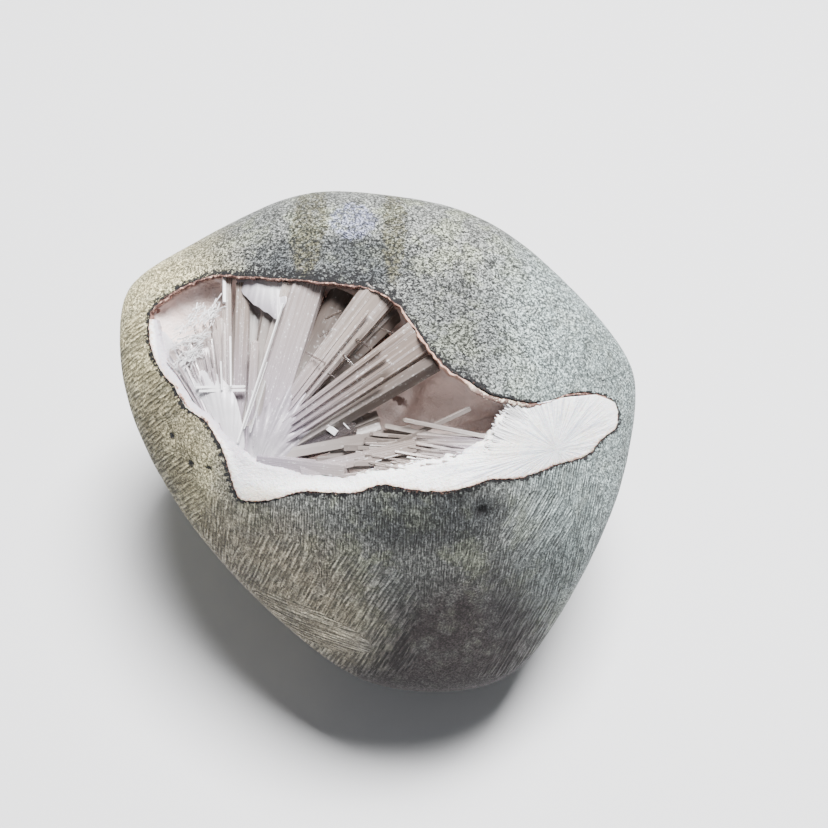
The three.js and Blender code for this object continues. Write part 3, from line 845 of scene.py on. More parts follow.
@dataclass
class Nodule:
    """The ground basalt stone, open through the window onto the hollow."""

    turns: int = 620
    wall_rings: int = 8
    rings: int = 156
    axis: Point = (5.5, -0.1)

    def rim(self) -> np.ndarray:
        """Samples the chipped rim, closer where the stone's lines fan out."""
        curve = WINDOW.curve()
        step = np.linalg.norm(np.roll(curve, -1, 0) - curve, axis=1)
        angle = np.unwrap(np.arctan2(curve[:, 1] - self.axis[1], curve[:, 0] - self.axis[0]))
        swing = np.abs(np.diff(np.append(angle, angle[0] - 2 * np.pi)))
        weight = np.concatenate([[0.0], np.cumsum(step + 22.0 * swing)])
        shares = np.interp(np.arange(self.turns) / self.turns * weight[-1], weight,
                           np.append(np.arange(len(curve)), len(curve))) / len(curve)
        index = shares * len(curve)
        ring = np.vstack([curve, curve[:1]])
        rim = np.stack([np.interp(index, np.arange(len(ring)), ring[:, k]) for k in (0, 1)], axis=1)
        return WINDOW.chipped(rim)

    def outside(self, rim: np.ndarray, share: np.ndarray, turn: np.ndarray) -> np.ndarray:
        """Places the ground surface's points between the rim and the stone's back."""
        start = np.column_stack([rim, STONE.height(rim)])
        pole = np.array([*self.axis, 24.5])
        pole /= np.linalg.norm(pole)
        right = np.cross([0.0, 1.0, 0.0], pole)
        right /= np.linalg.norm(right)
        up = np.cross(pole, right)
        ways = start / np.linalg.norm(start, axis=1)[:, None]
        reach = np.arccos(np.clip(ways @ pole, -1, 1))
        swing = np.unwrap(np.arctan2(ways @ up, ways @ right))
        even = swing[0] - np.arange(self.turns) / self.turns * 2 * np.pi
        goal = 0.5 * swing + 0.5 * (even - even.mean() + swing.mean())
        near = reach[:, None] * np.stack([np.cos(swing), np.sin(swing)], axis=1)
        far = np.pi * np.stack([np.cos(goal), np.sin(goal)], axis=1)
        flat = near[turn] + (far[turn] - near[turn]) * share[:, None]
        tilt = np.linalg.norm(flat, axis=1)
        spin = np.arctan2(flat[:, 1], flat[:, 0])
        ways = (np.cos(tilt)[:, None] * pole
                + np.sin(tilt)[:, None] * (np.cos(spin)[:, None] * right + np.sin(spin)[:, None] * up))
        return STONE.on_surface(ways)

    def weathered(self, places: np.ndarray, edge: np.ndarray) -> np.ndarray:
        """Adds soft grinding waves, a grain, pits and chips along the rim."""
        out = places / np.linalg.norm(places, axis=1)[:, None]
        depth = 0.05 * (smooth_noise(places, 7.0, 21) + 1.0) + 0.03 * (smooth_noise(places, 2.2, 22) + 1.0)
        depth += 0.02 * (smooth_noise(places, 0.9, 23) + 1.0)
        chips = np.maximum(smooth_noise(places, 0.6, 24) + 0.2, 0.0)
        depth += 0.22 * chips * np.exp(-edge / 0.3)
        for x, y, radius, deep in PITS:
            away = np.linalg.norm(places[:, :2] - (x, y), axis=1) / radius
            depth += np.where(places[:, 2] > 0, deep * np.exp(-(away**2)), 0.0)
        down = np.array([0.0, -math.sin(LAID_BACK), -math.cos(LAID_BACK)])
        base = places @ down > BASE_DISTANCE - 0.02
        return places - out * np.where(base, 0.0, depth)[:, None]

    def build(self) -> bpy.types.Object:
        """Makes the piece."""
        grid = SphereGrid(self.turns, self.rings)
        rim = self.rim()
        wall = grid.ring <= self.wall_rings
        spread = np.sin(grid.ring / self.wall_rings * np.pi / 2)
        edges = rim[grid.turn]
        places = np.empty((len(grid.turn), 3))
        places[wall] = WINDOW.wall(edges[wall], spread[wall], np.zeros(wall.sum()))
        first = self.wall_rings + 1
        step = (grid.ring[~wall] - first) / (self.rings - first)
        share = 0.22 * step + 0.78 * step**1.7
        outer = self.outside(rim, share, grid.turn[~wall])
        lip = np.column_stack([rim, STONE.height(rim)])[grid.turn[~wall]]
        edge = np.linalg.norm(outer - lip, axis=1)
        places[~wall] = self.weathered(outer, edge)
        write_places(grid.mesh, to_frame(places))
        distance = np.zeros(len(places))
        distance[~wall] = edge
        note(grid.mesh, "edge", distance)
        face_outwards(grid.mesh)
        return finished_piece("ground_nodule", grid.mesh, BasaltFinish().make(), "basalt_nodule")


@dataclass
class Rind:
    """The thin lumpy skin on the hollow's wall, flush with the ground surface at the rim."""

    turns: int = 700
    back_rings: int = 6
    lip_rings: int = 3
    wall_rings: int = 60
    thickness: float = 0.27
    thick_spots: tuple[tuple[float, float, float, float], ...] = (
        (12.4, 6.3, 1.4, 0.5), (15.0, 5.2, 2.2, 0.38), (-24.0, 18.8, 3.0, 0.08),
        (18.0, 4.9, 2.0, 0.15), (8.4, 9.0, 1.0, 0.1),
    )

    def thickness_at(self, rim: np.ndarray) -> np.ndarray:
        """Gives the skin's thickness along the rim."""
        flat = np.column_stack([rim, np.zeros(len(rim))])
        uneven = 0.6 * smooth_noise(flat, 0.9, 31) + 0.5 * smooth_noise(flat, 0.33, 32)
        thick = self.thickness * (1.0 + uneven)
        for x, y, radius, extra in self.thick_spots:
            thick += extra * np.exp(-np.sum((rim - (x, y)) ** 2, axis=1) / radius**2)
        low = (rim[:, 1] < 4.0) & (rim[:, 0] > -20.0)
        return np.maximum(np.where(low, 0.7 * thick, thick), 0.07)

    def build(self) -> bpy.types.Object:
        """Makes the piece."""
        rings = self.back_rings + self.lip_rings + self.wall_rings
        grid = SphereGrid(self.turns, rings)
        rim = resample(WINDOW.curve(), np.arange(self.turns) / self.turns)
        thick = self.thickness_at(rim)
        outer = WINDOW.chipped(rim, 0.02)
        inner = WINDOW.chipped(rim, 0.02 + thick)
        back = grid.ring <= self.back_rings
        front = grid.ring >= self.back_rings + self.lip_rings
        lip = ~back & ~front
        places = np.empty((len(grid.turn), 3))
        turn = grid.turn
        spread = np.sin(grid.ring / self.back_rings * np.pi / 2)
        places[back] = WINDOW.wall(outer[turn[back]], spread[back], np.full(back.sum(), 0.05))
        share = (grid.ring[lip] - self.back_rings) / self.lip_rings
        xy = outer[turn[lip]] + (inner[turn[lip]] - outer[turn[lip]]) * share[:, None]
        places[lip] = np.column_stack([xy, STONE.height(xy) - 0.06 - 0.12 * share])
        inward = np.maximum(grid.ring - self.back_rings - self.lip_rings, 0) / self.wall_rings
        spread = np.cos(inward[front] * np.pi / 2)
        near = np.exp(-14.0 * inward[front])
        calm = WINDOW.inward(rim, 0.3)[turn[front]]
        edges = calm + (inner[turn[front]] - calm) * near[:, None]
        skin = 0.33 + (thick[turn[front]] - 0.28) * near
        places[front] = WINDOW.wall(edges, spread, skin)
        ceiling = STONE.height(places[front, :2]) - 0.2
        places[front, 2] = np.minimum(places[front, 2], ceiling)
        first = front & (inward == 0)
        places[first, 2] = STONE.height(places[first, :2]) - 0.2
        write_places(grid.mesh, places)
        face_outwards(grid.mesh)
        lumps = (0.5 * smooth_noise(places, 3.4, 33) + 0.2 * smooth_noise(places, 1.5, 34)
                 + 0.06 * smooth_noise(places, 0.7, 35) + 0.45)
        lumps = np.maximum(lumps, 0.0)
        inwards = np.array([-2.0, 4.0, 26.0]) - places
        inwards /= np.linalg.norm(inwards, axis=1)[:, None]
        edge = np.where(front, np.clip(1.0 - inward * 9.0, 0.0, 1.0), 1.0)
        places += inwards * (np.where(front, lumps, 0.0) * (1.0 - edge))[:, None]
        write_places(grid.mesh, to_frame(places))
        note(grid.mesh, "edge", edge)
        note(grid.mesh, "sunk", np.clip(1.0 - lumps / 0.9, 0.0, 1.0))
        return finished_piece("pink_rind", grid.mesh, RindFinish().make(), "vug_rind")


@dataclass
class Template:
    """An upright prism whose vertices know their turn and station, copied for each crystal."""

    turns: int
    stations: int
    mesh: bpy.types.Mesh = field(init=False)
    turn: np.ndarray = field(init=False)
    station: np.ndarray = field(init=False)

    def __post_init__(self) -> None:
        """Makes the prism."""
        bm = bmesh.new()
        bmesh.ops.create_cone(bm, cap_ends=True, segments=self.turns, radius1=1.0, radius2=1.0, depth=2.0)
        upright = [e for e in bm.edges if abs(e.verts[0].co.z - e.verts[1].co.z) > 1.0]
        bmesh.ops.subdivide_edges(bm, edges=upright, cuts=self.stations - 1, use_grid_fill=True)
        self.mesh = bpy.data.meshes.new("prism")
        bm.to_mesh(self.mesh)
        bm.free()
        places = read_places(self.mesh)
        around = np.arctan2(places[:, 1], places[:, 0]) / (2 * np.pi) * self.turns
        self.turn = np.rint(around).astype(int) % self.turns
        self.station = np.rint((places[:, 2] + 1.0) / 2.0 * self.stations).astype(int)


@dataclass(frozen=True)
class Crystal:
    """One flattened prism between two points, each x, y and a depth under the ground surface."""

    root: Deep
    tip: Deep
    wide: float
    thick: float
    turn: float = 0.0
    bevel: float = 0.0
    flare: float = 1.0
    ridge: float = 0.0
    tone: float = 0.5
    fade: float = 0.0


# A crystal's cross-section, as shares of its width and thickness: two broad faces, bevelled sides
SECTION = np.array([(-0.5, 0.0), (-0.38, -0.5), (0.38, -0.5), (0.5, 0.0), (0.38, 0.5), (-0.38, 0.5)])


class Bundle:
    """Gathers many crystals into one mesh."""

    def __init__(self, turns: int = 6, stations: int = 2, seed: int = 1) -> None:
        """Makes the template and starts an empty bundle."""
        self.template = Template(turns, stations)
        self.rng = np.random.default_rng(seed)
        self.bm = bmesh.new()
        self.places: list[np.ndarray] = []
        self.grain: list[np.ndarray] = []
        self.tone: list[np.ndarray] = []

    def section(self, crystal: Crystal) -> np.ndarray:
        """Draws a crystal's cross-section in millimetres, with ridges on its broad faces."""
        count = self.template.turns
        if count == len(SECTION):
            return SECTION * (crystal.wide, crystal.thick)
        ring = np.vstack([SECTION, SECTION[:1]]) * (crystal.wide, crystal.thick)
        length = np.concatenate([[0.0], np.cumsum(np.linalg.norm(np.diff(ring, axis=0), axis=1))])
        at = np.arange(count) / count * length[-1]
        for corner in length[:-1]:
            at[np.argmin(np.abs(at - corner))] = corner
        points = np.stack([np.interp(at, length, ring[:, axis]) for axis in (0, 1)], axis=1)
        runs = self.rng.integers(1, 5, count)
        steps = np.repeat(self.rng.uniform(0.0, 1.0, count), runs)[:count]
        flat = np.abs(points[:, 1]) > 0.49 * crystal.thick
        points[:, 1] -= np.where(flat, np.sign(points[:, 1]) * steps * crystal.ridge, 0.0)
        return points

    def add(self, *crystals: Crystal) -> None:
        """Adds crystals."""
        starts = STONE.under(np.array([crystal.root for crystal in crystals]))
        ends = STONE.under(np.array([crystal.tip for crystal in crystals]))
        for start, end, crystal in zip(starts, ends, crystals):
            self.add_between(start, end, crystal)

    def add_sheaves(self, *sheaves: "Sheaf") -> None:
        """Adds every crystal of some sheaves."""
        for sheaf in sheaves:
            self.add(*sheaf.crystals(self.rng))

    def add_between(self, start: np.ndarray, end: np.ndarray, crystal: Crystal) -> None:
        """Adds one crystal between two points of the window's frame.

        Args:
            start: Where it grows from.
            end: Where its tip is.
            crystal: Its section, turn, tip and tone.
        """
        along = end - start
        length = np.linalg.norm(along)
        along = along / length
        side = np.cross([0.0, 0.0, 1.0], along)
        side /= max(np.linalg.norm(side), 1e-6)
        face = np.cross(along, side)
        c, s = math.cos(math.radians(crystal.turn)), math.sin(math.radians(crystal.turn))
        side, face = side * c + face * s, face * c - side * s
        section = self.section(crystal)
        template = self.template
        last = template.stations
        reach = template.station / last
        size = 1.0 + (crystal.flare - 1.0) * reach
        if crystal.bevel > 0.0:
            body = (length - crystal.bevel) / length
            reach = np.where(template.station == last, 1.0, reach * body * last / (last - 1))
            size = np.where(template.station == last, size * 0.35, size)
        points = section[template.turn]
        ring = np.linalg.norm(np.diff(np.vstack([section, section[:1]]), axis=0), axis=1)
        around = np.concatenate([[0.0], np.cumsum(ring)])[template.turn]
        placed = (start + along * (reach * length)[:, None]
                  + side * (points[:, 0] * size)[:, None] + face * (points[:, 1] * size)[:, None])
        self.bm.from_mesh(template.mesh)
        self.places.append(placed)
        offset = self.rng.uniform(0.0, 400.0)
        self.grain.append(np.stack([around + offset, reach * length, np.full(len(reach), offset)], axis=1))
        tone = crystal.tone + self.rng.uniform(-0.2, 0.2) + crystal.fade * (reach - 0.4)
        self.tone.append(np.clip(tone, 0.0, 1.3))

    def mesh(self, name: str, milk: "Milk", flush: float | None = FLUSH) -> bpy.types.Mesh:
        """Finishes the bundle as one mesh with its grain, tone and milkiness noted."""
        places = np.vstack(self.places)
        if flush is not None:
            places = STONE.ground_flush(places, flush)
        mesh = bpy.data.meshes.new(name)
        self.bm.to_mesh(mesh)
        self.bm.free()
        write_places(mesh, to_frame(places))
        note(mesh, "grain", np.vstack(self.grain))
        note(mesh, "tone", np.concatenate(self.tone))
        note(mesh, "milk", milk.at(places))
        face_outwards(mesh)
        return mesh


@dataclass(frozen=True)
class Milk:
    """Where the crystals turn milky: round each fan's foot, fading outwards."""

    feet: tuple[tuple[float, float, float], ...] = ((-13.0, 0.0, 9.5), (-20.5, 3.5, 8.0), (14.0, 0.0, 6.0))
    least: float = 0.05

    def at(self, places: np.ndarray) -> np.ndarray:
        """Gives the milkiness at each place, from 0 to 1."""
        value = np.full(len(places), self.least)
        for x, y, reach in self.feet:
            away = np.linalg.norm(places[:, :2] - (x, y), axis=1) / reach
            value = np.maximum(value, np.exp(-(away**2)))
        return value


@dataclass(frozen=True)
class Sheaf:
    """Crystals side by side, their ends spread along a line at the root and another at the tip."""

    count: int
    roots: tuple[Deep, Deep]
    tips: tuple[Deep, Deep]
    wide: float
    thick: float
    swing: float = 15.0
    jitter: float = 0.3
    uneven: float = 0.0
    bevel: float = 0.0
    flare: float = 1.0
    ridge: float = 0.0
    tone: float = 0.5
    darker: float = 0.0
    fade: float = 0.0

    def crystals(self, rng: np.random.Generator) -> list[Crystal]:
        """Draws the sheaf's crystals."""
        made = []
        roots, tips = np.array(self.roots), np.array(self.tips)
        for i in range(self.count):
            share = (i + 0.5) / self.count
            root = roots[0] + (roots[1] - roots[0]) * share
            tip = tips[0] + (tips[1] - tips[0]) * share
            root = root + rng.uniform(-0.4, 0.4, 3) * self.jitter
            tip = tip + rng.uniform(-1.0, 1.0, 3) * self.jitter
            tip = root + (tip - root) * (1.0 - self.uneven * rng.uniform(0.0, 1.0))
            size = rng.uniform(0.7, 1.25)
            tone = self.tone + self.darker * share
            made.append(Crystal(tuple(root), tuple(tip), self.wide * size, self.thick * size,
                                rng.uniform(-self.swing, self.swing), self.bevel, self.flare,
                                self.ridge, tone, self.fade))
        return made


class Clarity(Enum):
    """How clear a crystal is."""

    GLASSY = CrystalFinish("glassy_scolecite", (0.90, 0.85, 0.82), (0.84, 0.80, 0.78), 0.92, 0.05, 0.25)
    SILKY = CrystalFinish("silky_scolecite", (0.56, 0.48, 0.425), (0.68, 0.62, 0.63), 0.46, 0.12, 0.4, 4.6, 0.02)
    MILKY = CrystalFinish("milky_scolecite", (0.52, 0.455, 0.455), (0.57, 0.515, 0.545), 0.4, 0.2, 0.3, 3.0, 0.015)
    SOFT = CrystalFinish("soft_scolecite", (0.43, 0.39, 0.44), (0.49, 0.45, 0.50), 0.35, 0.3, 0.3, 2.2, 0.02,
                         (0.92, 0.90, 0.93))
    SMOKY = CrystalFinish("smoky_scolecite", (0.20, 0.16, 0.138), (0.31, 0.26, 0.24), 0.4, 0.3, 0.4, 2.4, 0.02,
                          (0.42, 0.38, 0.37), (0.12, 0.092, 0.078), 0.3)
    WHITE = CrystalFinish("white_scolecite", (0.94, 0.93, 0.94), (0.96, 0.95, 0.96), 0.22, 0.25, 0.4, 5.0, 0.03,
                          (0.96, 0.95, 0.96))


@dataclass(frozen=True)
class Lump:
    """A smooth mass with a soft outline, domed towards the window, its fibres fanned about a foot.

    The crown lies ``depth`` under the ground surface, the outline ``fall`` deeper and the underside
    ``thick`` deeper again.
    """

    outline: tuple[Point, ...]
    foot: Point
    depth: float
    fall: float
    thick: float = 2.0
    uneven: float = 0.15
    ridges: float = 0.1
    milky: float = 0.35
    white: Point = (0.0, 0.0)
    fingers: float = 0.0

    def build(self, name: str, finish: bpy.types.Material, seed: int) -> bpy.types.Object:
        """Makes the mass as a piece."""
        turns, rings = 260, 80
        grid = SphereGrid(turns, rings)
        rim = resample(closed_curve(self.outline), np.arange(turns) / turns)
        middle = rim.mean(axis=0)
        angle = grid.ring / rings * np.pi
        xy = middle + (rim[grid.turn] - middle) * np.sin(angle)[:, None]
        front = np.cos(angle) >= 0
        deep = np.where(front, self.fall * np.sin(angle) ** 2, self.fall - self.thick * np.cos(angle))
        spoke = xy - np.array(self.foot)
        radius = np.linalg.norm(spoke, axis=1)
        turn = np.arctan2(spoke[:, 1], spoke[:, 0])
        turn = np.where(turn < -2.4, turn + 2 * np.pi, turn)
        fan = np.column_stack([turn * 11.0, radius * 0.08, np.zeros(len(turn))])
        reach = self.fingers * smooth_noise(fan, 0.6, seed + 4) * (radius / radius.max()) ** 3
        xy = xy + spoke * reach[:, None]
        places = np.column_stack([xy, STONE.height(xy) - self.depth - deep])
        fibres = smooth_noise(fan, 0.9, seed + 2) + 0.6 * smooth_noise(fan, 0.4, seed + 3)
        rough = smooth_noise(places, 2.6, seed) + 0.3 * smooth_noise(places, 1.1, seed + 1)
        places[:, 2] += self.uneven * rough + self.ridges * fibres * np.clip(radius / 5.0, 0.0, 1.0)
        places = STONE.ground_flush(places, 0.15)
        write_places(grid.mesh, to_frame(places))
        glow = np.exp(-np.sum((xy - np.array(self.white)) ** 2, axis=1) / 2.2**2)
        note(grid.mesh, "grain", np.column_stack([turn * 14.0 + 90.0, radius, np.zeros(len(turn))]))
        note(grid.mesh, "tone", np.zeros(len(places)))
        note(grid.mesh, "milk", np.clip(self.milky + (1.0 - self.milky) * glow, 0.0, 1.0))
        face_outwards(grid.mesh)
        return finished_piece(name, grid.mesh, finish, "scolecite_spray")


@dataclass
class Spray:
    """All the crystals that grew together: two fans, a roof wedge, floor needles, tuft and seam."""

    milk: Milk = Milk()
    materials: dict[Clarity, bpy.types.Material] = field(default_factory=dict)

    def material(self, clarity: Clarity) -> bpy.types.Material:
        """Gives one finish, made once."""
        if clarity not in self.materials:
            self.materials[clarity] = clarity.value.make()
        return self.materials[clarity]

    def piece(self, name: str, bundle: Bundle, clarity: Clarity) -> bpy.types.Object:
        """Stands a bundle in the scene."""
        mesh = bundle.mesh(name, self.milk)
        return finished_piece(name, mesh, self.material(clarity), "scolecite_spray", False)

    def broad_blade(self) -> bpy.types.Object:
        """Makes the broad smooth blade."""
        bundle = Bundle(30, 8, 41)
        bundle.add(Crystal((-15.2, -4.6, 3.2), (-7.5, 20.8, 1.4), 4.6, 2.4, 6, ridge=0.05, tone=0.3, fade=0.4))
        return self.piece("broad_blade", bundle, Clarity.MILKY)

    def white_edges_and_painted_highlights(self) -> bpy.types.Object:
        """Makes the narrow white prisms along the broad blade's left edge and left of it, partly white edges and
        partly painted highlights, and the small white pieces that paint glints.
        """
        bundle = Bundle(14, 4, 40)
        bundle.add(
            # The thin white prisms are partly the crystals' white edges and partly painted highlights.
            Crystal((-15.9, 0.2, 1.5), (-10.7, 16.6, 0.8), 0.15, 0.5, -20, ridge=0.02, tone=0.0),
            Crystal((-14.4, 1.4, 1.5), (-12.6, 7.4, 1.0), 0.13, 0.5, 20, ridge=0.02, tone=0.0),
            Crystal((-15.1, 1.8, 1.4), (-12.4, 9.6, 0.9), 0.09, 0.3, 20, ridge=0.02, tone=0.0),
            Crystal((-18.2, 17.0, 1.3), (-18.5, 20.4, 1.05), 0.42, 0.4, 24, ridge=0.02, tone=0.0),
            Crystal((-16.8, 6.8, 1.5), (-17.1, 12.8, 1.4), 0.11, 0.3, -24, ridge=0.02, tone=0.0),
            Crystal((-17.9, 6.4, 1.45), (-18.15, 9.8, 1.4), 0.13, 0.3, -24, ridge=0.02, tone=0.0),
            # Painted glints: small white pieces below the third blade and on the floor prisms.
            Crystal((-5.4, 2.1, 3.2), (-4.3, 1.3, 3.3), 0.85, 0.4, 15, tone=0.0),
            Crystal((-3.5, 2.5, 3.6), (-2.7, 1.7, 3.7), 0.12, 0.2, 15, tone=0.0),
            Crystal((1.4, -1.5, 0.95), (2.9, -1.1, 0.95), 0.07, 0.2, 15, tone=0.0),
            Crystal((0.3, -1.9, 0.95), (1.0, -1.7, 0.95), 0.09, 0.2, 15, tone=0.0),
        )
        return self.piece("white_edges_and_painted_highlights", bundle, Clarity.WHITE)

    def striated_sheaf(self) -> bpy.types.Object:
        """Makes the striated blade beside the broad one, with thin prisms along it."""
        bundle = Bundle(44, 8, 42)
        bundle.add(Crystal((-13.9, -0.6, 3.1), (0.7, 17.9, 1.7), 1.7, 0.9, 8, flare=2.75, ridge=0.16, tone=0.4,
                           fade=0.7))
        bundle.add_sheaves(
            Sheaf(4, ((-13.4, 1.6, 2.8), (-12.4, -0.2, 2.7)), ((-1.4, 18.9, 1.1), (2.4, 17.0, 0.9)),
                  0.3, 0.5, 12, 0.1, 0.25, 0.3, 1.6, ridge=0.05, tone=0.3, fade=0.6))
        return self.piece("striated_sheaf", bundle, Clarity.SILKY)

    def lavender_sheaf(self) -> bpy.types.Object:
        """Makes the blade over the open side, with thin prisms along it."""
        bundle = Bundle(44, 8, 43)
        bundle.add(
            Crystal((-13.6, -1.0, 2.6), (5.4, 12.4, 1.6), 2.4, 1.0, 4, flare=1.9, ridge=0.1, tone=0.5, fade=1.1))
        bundle.add_sheaves(
            Sheaf(4, ((-12.6, 1.4, 2.25), (-12.2, -1.4, 2.3)), ((4.0, 14.0, 1.0), (6.8, 10.6, 1.0)),
                  0.26, 0.3, 12, 0.1, 0.3, 0.3, 1.6, ridge=0.04, tone=0.5, darker=0.4, fade=1.0))
        return self.piece("lavender_sheaf", bundle, Clarity.SILKY)

    def shaded_blades(self) -> bpy.types.Object:
        """Makes the shaded blades: under the third one's lower edge, behind the gaps and the floor's."""
        bundle = Bundle(24, 6, 55)
        bundle.add(
            Crystal((-12.6, -2.3, 3.3), (7.2, 9.5, 2.4), 1.3, 1.0, 48, flare=1.6, ridge=0.05, tone=0.6, fade=0.5),
            Crystal((-15.2, -1.0, 3.5), (-14.0, 19.6, 3.5), 5.8, 1.0, 4, ridge=0.15, tone=0.6, fade=0.4),
            Crystal((-14.6, 2.0, 2.7), (-11.8, 19.9, 2.5), 2.2, 0.8, -6, ridge=0.1, tone=0.3, fade=0.3),
            Crystal((-12.8, 0.6, 4.4), (-3.6, 19.2, 4.1), 1.4, 1.0, 24, flare=2.2, ridge=0.12, tone=0.9, fade=0.2),
            Crystal((-12.9, 0.2, 4.6), (2.8, 16.2, 4.3), 1.2, 1.0, 26, flare=2.2, ridge=0.12, tone=0.8, fade=0.2),
            Crystal((15.2, -0.5, 2.1), (-5.0, -0.6, 3.9), 3.6, 1.2, 4, ridge=0.14, tone=0.4),
        )
        return self.piece("shaded_blades", bundle, Clarity.SMOKY)

    def edge_prism(self) -> bpy.types.Object:
        """Makes the narrow clear prism along the broad blade's left side."""
        bundle = Bundle(18, 6, 39)
        bundle.add(Crystal((-16.6, -3.8, 2.6), (-10.3, 19.2, 1.5), 1.5, 1.0, -12, ridge=0.08, tone=0.1))
        return self.piece("edge_prism", bundle, Clarity.SILKY)

    def hidden_blades(self) -> bpy.types.Object:
        """Makes the thinner blades behind the front ones, and the small stubs that cross the gaps."""
        bundle = Bundle(6, 2, 44)
        bundle.add_sheaves(
            Sheaf(9, ((-14.4, 0.5, 4.4), (-11.8, -0.6, 4.6)), ((-15.4, 19.8, 4.4), (4.2, 16.2, 5.4)),
                  1.0, 0.9, 40, 0.6, 0.05, tone=0.8),
            Sheaf(7, ((-13.8, 0.3, 6.4), (-11.6, -0.6, 6.6)), ((-13.4, 18.6, 7.4), (6.6, 12.6, 8.2)),
                  0.9, 0.8, 60, 0.8, 0.1, tone=1.0),
            Sheaf(5, ((-12.0, -1.2, 4.6), (-11.4, -2.0, 4.4)), ((-2.6, 5.0, 8.2), (-1.0, 0.6, 6.4)),
                  1.0, 0.9, 45, 0.5, 0.2, 0.4, tone=0.8),
            Sheaf(3, ((-8.4, 9.4, 3.4), (-5.4, 16.0, 3.4)), ((-5.4, 8.2, 3.0), (-2.4, 17.6, 3.4)),
                  0.22, 0.18, 60, 1.2, tone=1.0),
            Sheaf(4, ((-7.2, 8.4, 3.2), (0.4, 15.4, 3.6)), ((-4.6, 6.6, 3.2), (3.8, 13.6, 3.4)),
                  0.22, 0.18, 60, 1.2, tone=1.0),
            Sheaf(4, ((-9.6, -0.6, 3.4), (-8.6, -1.2, 3.4)), ((-2.2, 3.4, 4.6), (-0.6, 1.8, 4.2)),
                  1.2, 1.0, 30, 0.3, 0.2, 0.4, tone=1.6),
        )
        return self.piece("hidden_blades", bundle, Clarity.GLASSY)

    def left_prisms(self) -> bpy.types.Object:
        """Makes the left fan's upright prisms."""
        bundle = Bundle(14, 4, 45)
        bundle.add(
            Crystal((-17.1, -2.6, 1.9), (-18.1, 20.8, 1.5), 1.1, 1.0, 0, ridge=0.04, tone=0.5, fade=0.4),
            Crystal((-15.9, -2.6, 2.5), (-16.0, 19.4, 2.6), 2.1, 1.5, -8, ridge=0.04, tone=1.2, fade=0.4),
            Crystal((-14.8, -2.0, 2.6), (-14.1, 12.3, 1.9), 1.2, 1.1, 8, 0.35, ridge=0.06, tone=0.5),
            Crystal((-15.0, -1.0, 3.0), (-13.2, 17.8, 3.4), 1.0, 0.9, 20, ridge=0.03, tone=0.9),
        )
        return self.piece("left_prisms", bundle, Clarity.SILKY)

    def left_needles(self) -> bpy.types.Object:
        """Makes the spread of fine needles that lies low towards the rim's left end."""
        bundle = Bundle(6, 2, 46)
        bundle.add_sheaves(
            Sheaf(16, ((-17.4, -1.0, 2.0), (-17.4, 0.0, 1.8)), ((-18.8, 17.2, 2.8), (-24.9, 11.6, 1.7)),
                  0.95, 0.9, 30, 0.5, 0.2, 0.5, 1.2, tone=0.15),
            Sheaf(60, ((-17.2, -0.8, 1.5), (-18.4, 0.8, 1.1)), ((-18.6, 17.2, 2.2), (-25.6, 11.0, 1.1)),
                  0.22, 0.2, 60, 0.8, 0.4, 0.3, 1.3, tone=0.0),
        )
        return self.piece("left_needles", bundle, Clarity.SILKY)

    def floor_prisms(self) -> bpy.types.Object:
        """Makes the clear prisms that lie along the floor in front."""
        bundle = Bundle(10, 4, 47)
        bundle.add(
            Crystal((-13.4, -1.9, 2.0), (-3.0, -2.9, 1.3), 1.8, 1.5, 12, ridge=0.07, tone=0.1),
            Crystal((-8.2, -3.3, 1.6), (5.0, -0.1, 1.9), 2.0, 1.3, -14, ridge=0.07, tone=0.5, fade=0.6),
        )
        bundle.add_sheaves(
            Sheaf(12, ((14.6, 0.4, 1.2), (12.4, -1.8, 1.0)), ((0.6, 1.4, 2.5), (-4.0, -2.0, 1.5)),
                  0.42, 0.4, 25, 0.5, 0.35, 0.0, ridge=0.02, tone=0.6),
        )
        return self.piece("floor_prisms", bundle, Clarity.SILKY)

    def floor_needles(self) -> bpy.types.Object:
        """Makes the darker prisms and needles that lie deeper along the floor."""
        bundle = Bundle(10, 4, 49)
        bundle.add(
            Crystal((-11.4, -1.4, 3.0), (4.4, 1.6, 3.4), 1.6, 1.2, -10, ridge=0.06, tone=0.1),
            Crystal((1.6, -0.3, 2.0), (11.2, 4.2, 2.6), 0.6, 0.5, 20, ridge=0.02, tone=0.0),
            Crystal((15.5, 0.4, 0.6), (3.4, 2.9, 1.6), 0.6, 0.5, 10, 0.25, ridge=0.02, tone=0.0),
            Crystal((15.0, -0.4, 0.9), (1.2, 2.2, 2.2), 0.7, 0.5, 10, 0.25, ridge=0.02, tone=0.0),
            Crystal((14.0, -1.2, 1.1), (-1.0, 0.6, 2.3), 1.0, 0.6, -8, 0.25, ridge=0.04, tone=0.1),
            Crystal((14.0, -1.6, 1.0), (-6.6, -1.9, 2.0), 1.3, 0.8, -12, 0.25, ridge=0.06, tone=0.0),
        )
        bundle.add_sheaves(
            Sheaf(9, ((14.6, 0.6, 1.6), (12.6, -1.8, 1.3)), ((-4.6, 0.6, 3.6), (-7.0, -2.6, 2.2)),
                  0.9, 0.65, 25, 0.6, 0.2, 0.0, ridge=0.04, tone=0.2),
            Sheaf(14, ((14.8, 0.8, 1.3), (12.0, -2.0, 1.0)), ((0.0, 1.2, 2.6), (-5.0, -2.6, 1.5)),
                  0.5, 0.4, 25, 0.5, 0.25, 0.0, ridge=0.02, tone=0.0),
            Sheaf(7, ((-8.8, 0.8, 4.4), (-7.4, -0.6, 4.0)), ((-2.0, 5.8, 6.8), (1.6, 2.2, 6.0)),
                  1.3, 1.1, 40, 0.5, 0.2, 0.0, ridge=0.1, tone=0.5),
        )
        return self.piece("floor_needles", bundle, Clarity.SMOKY)

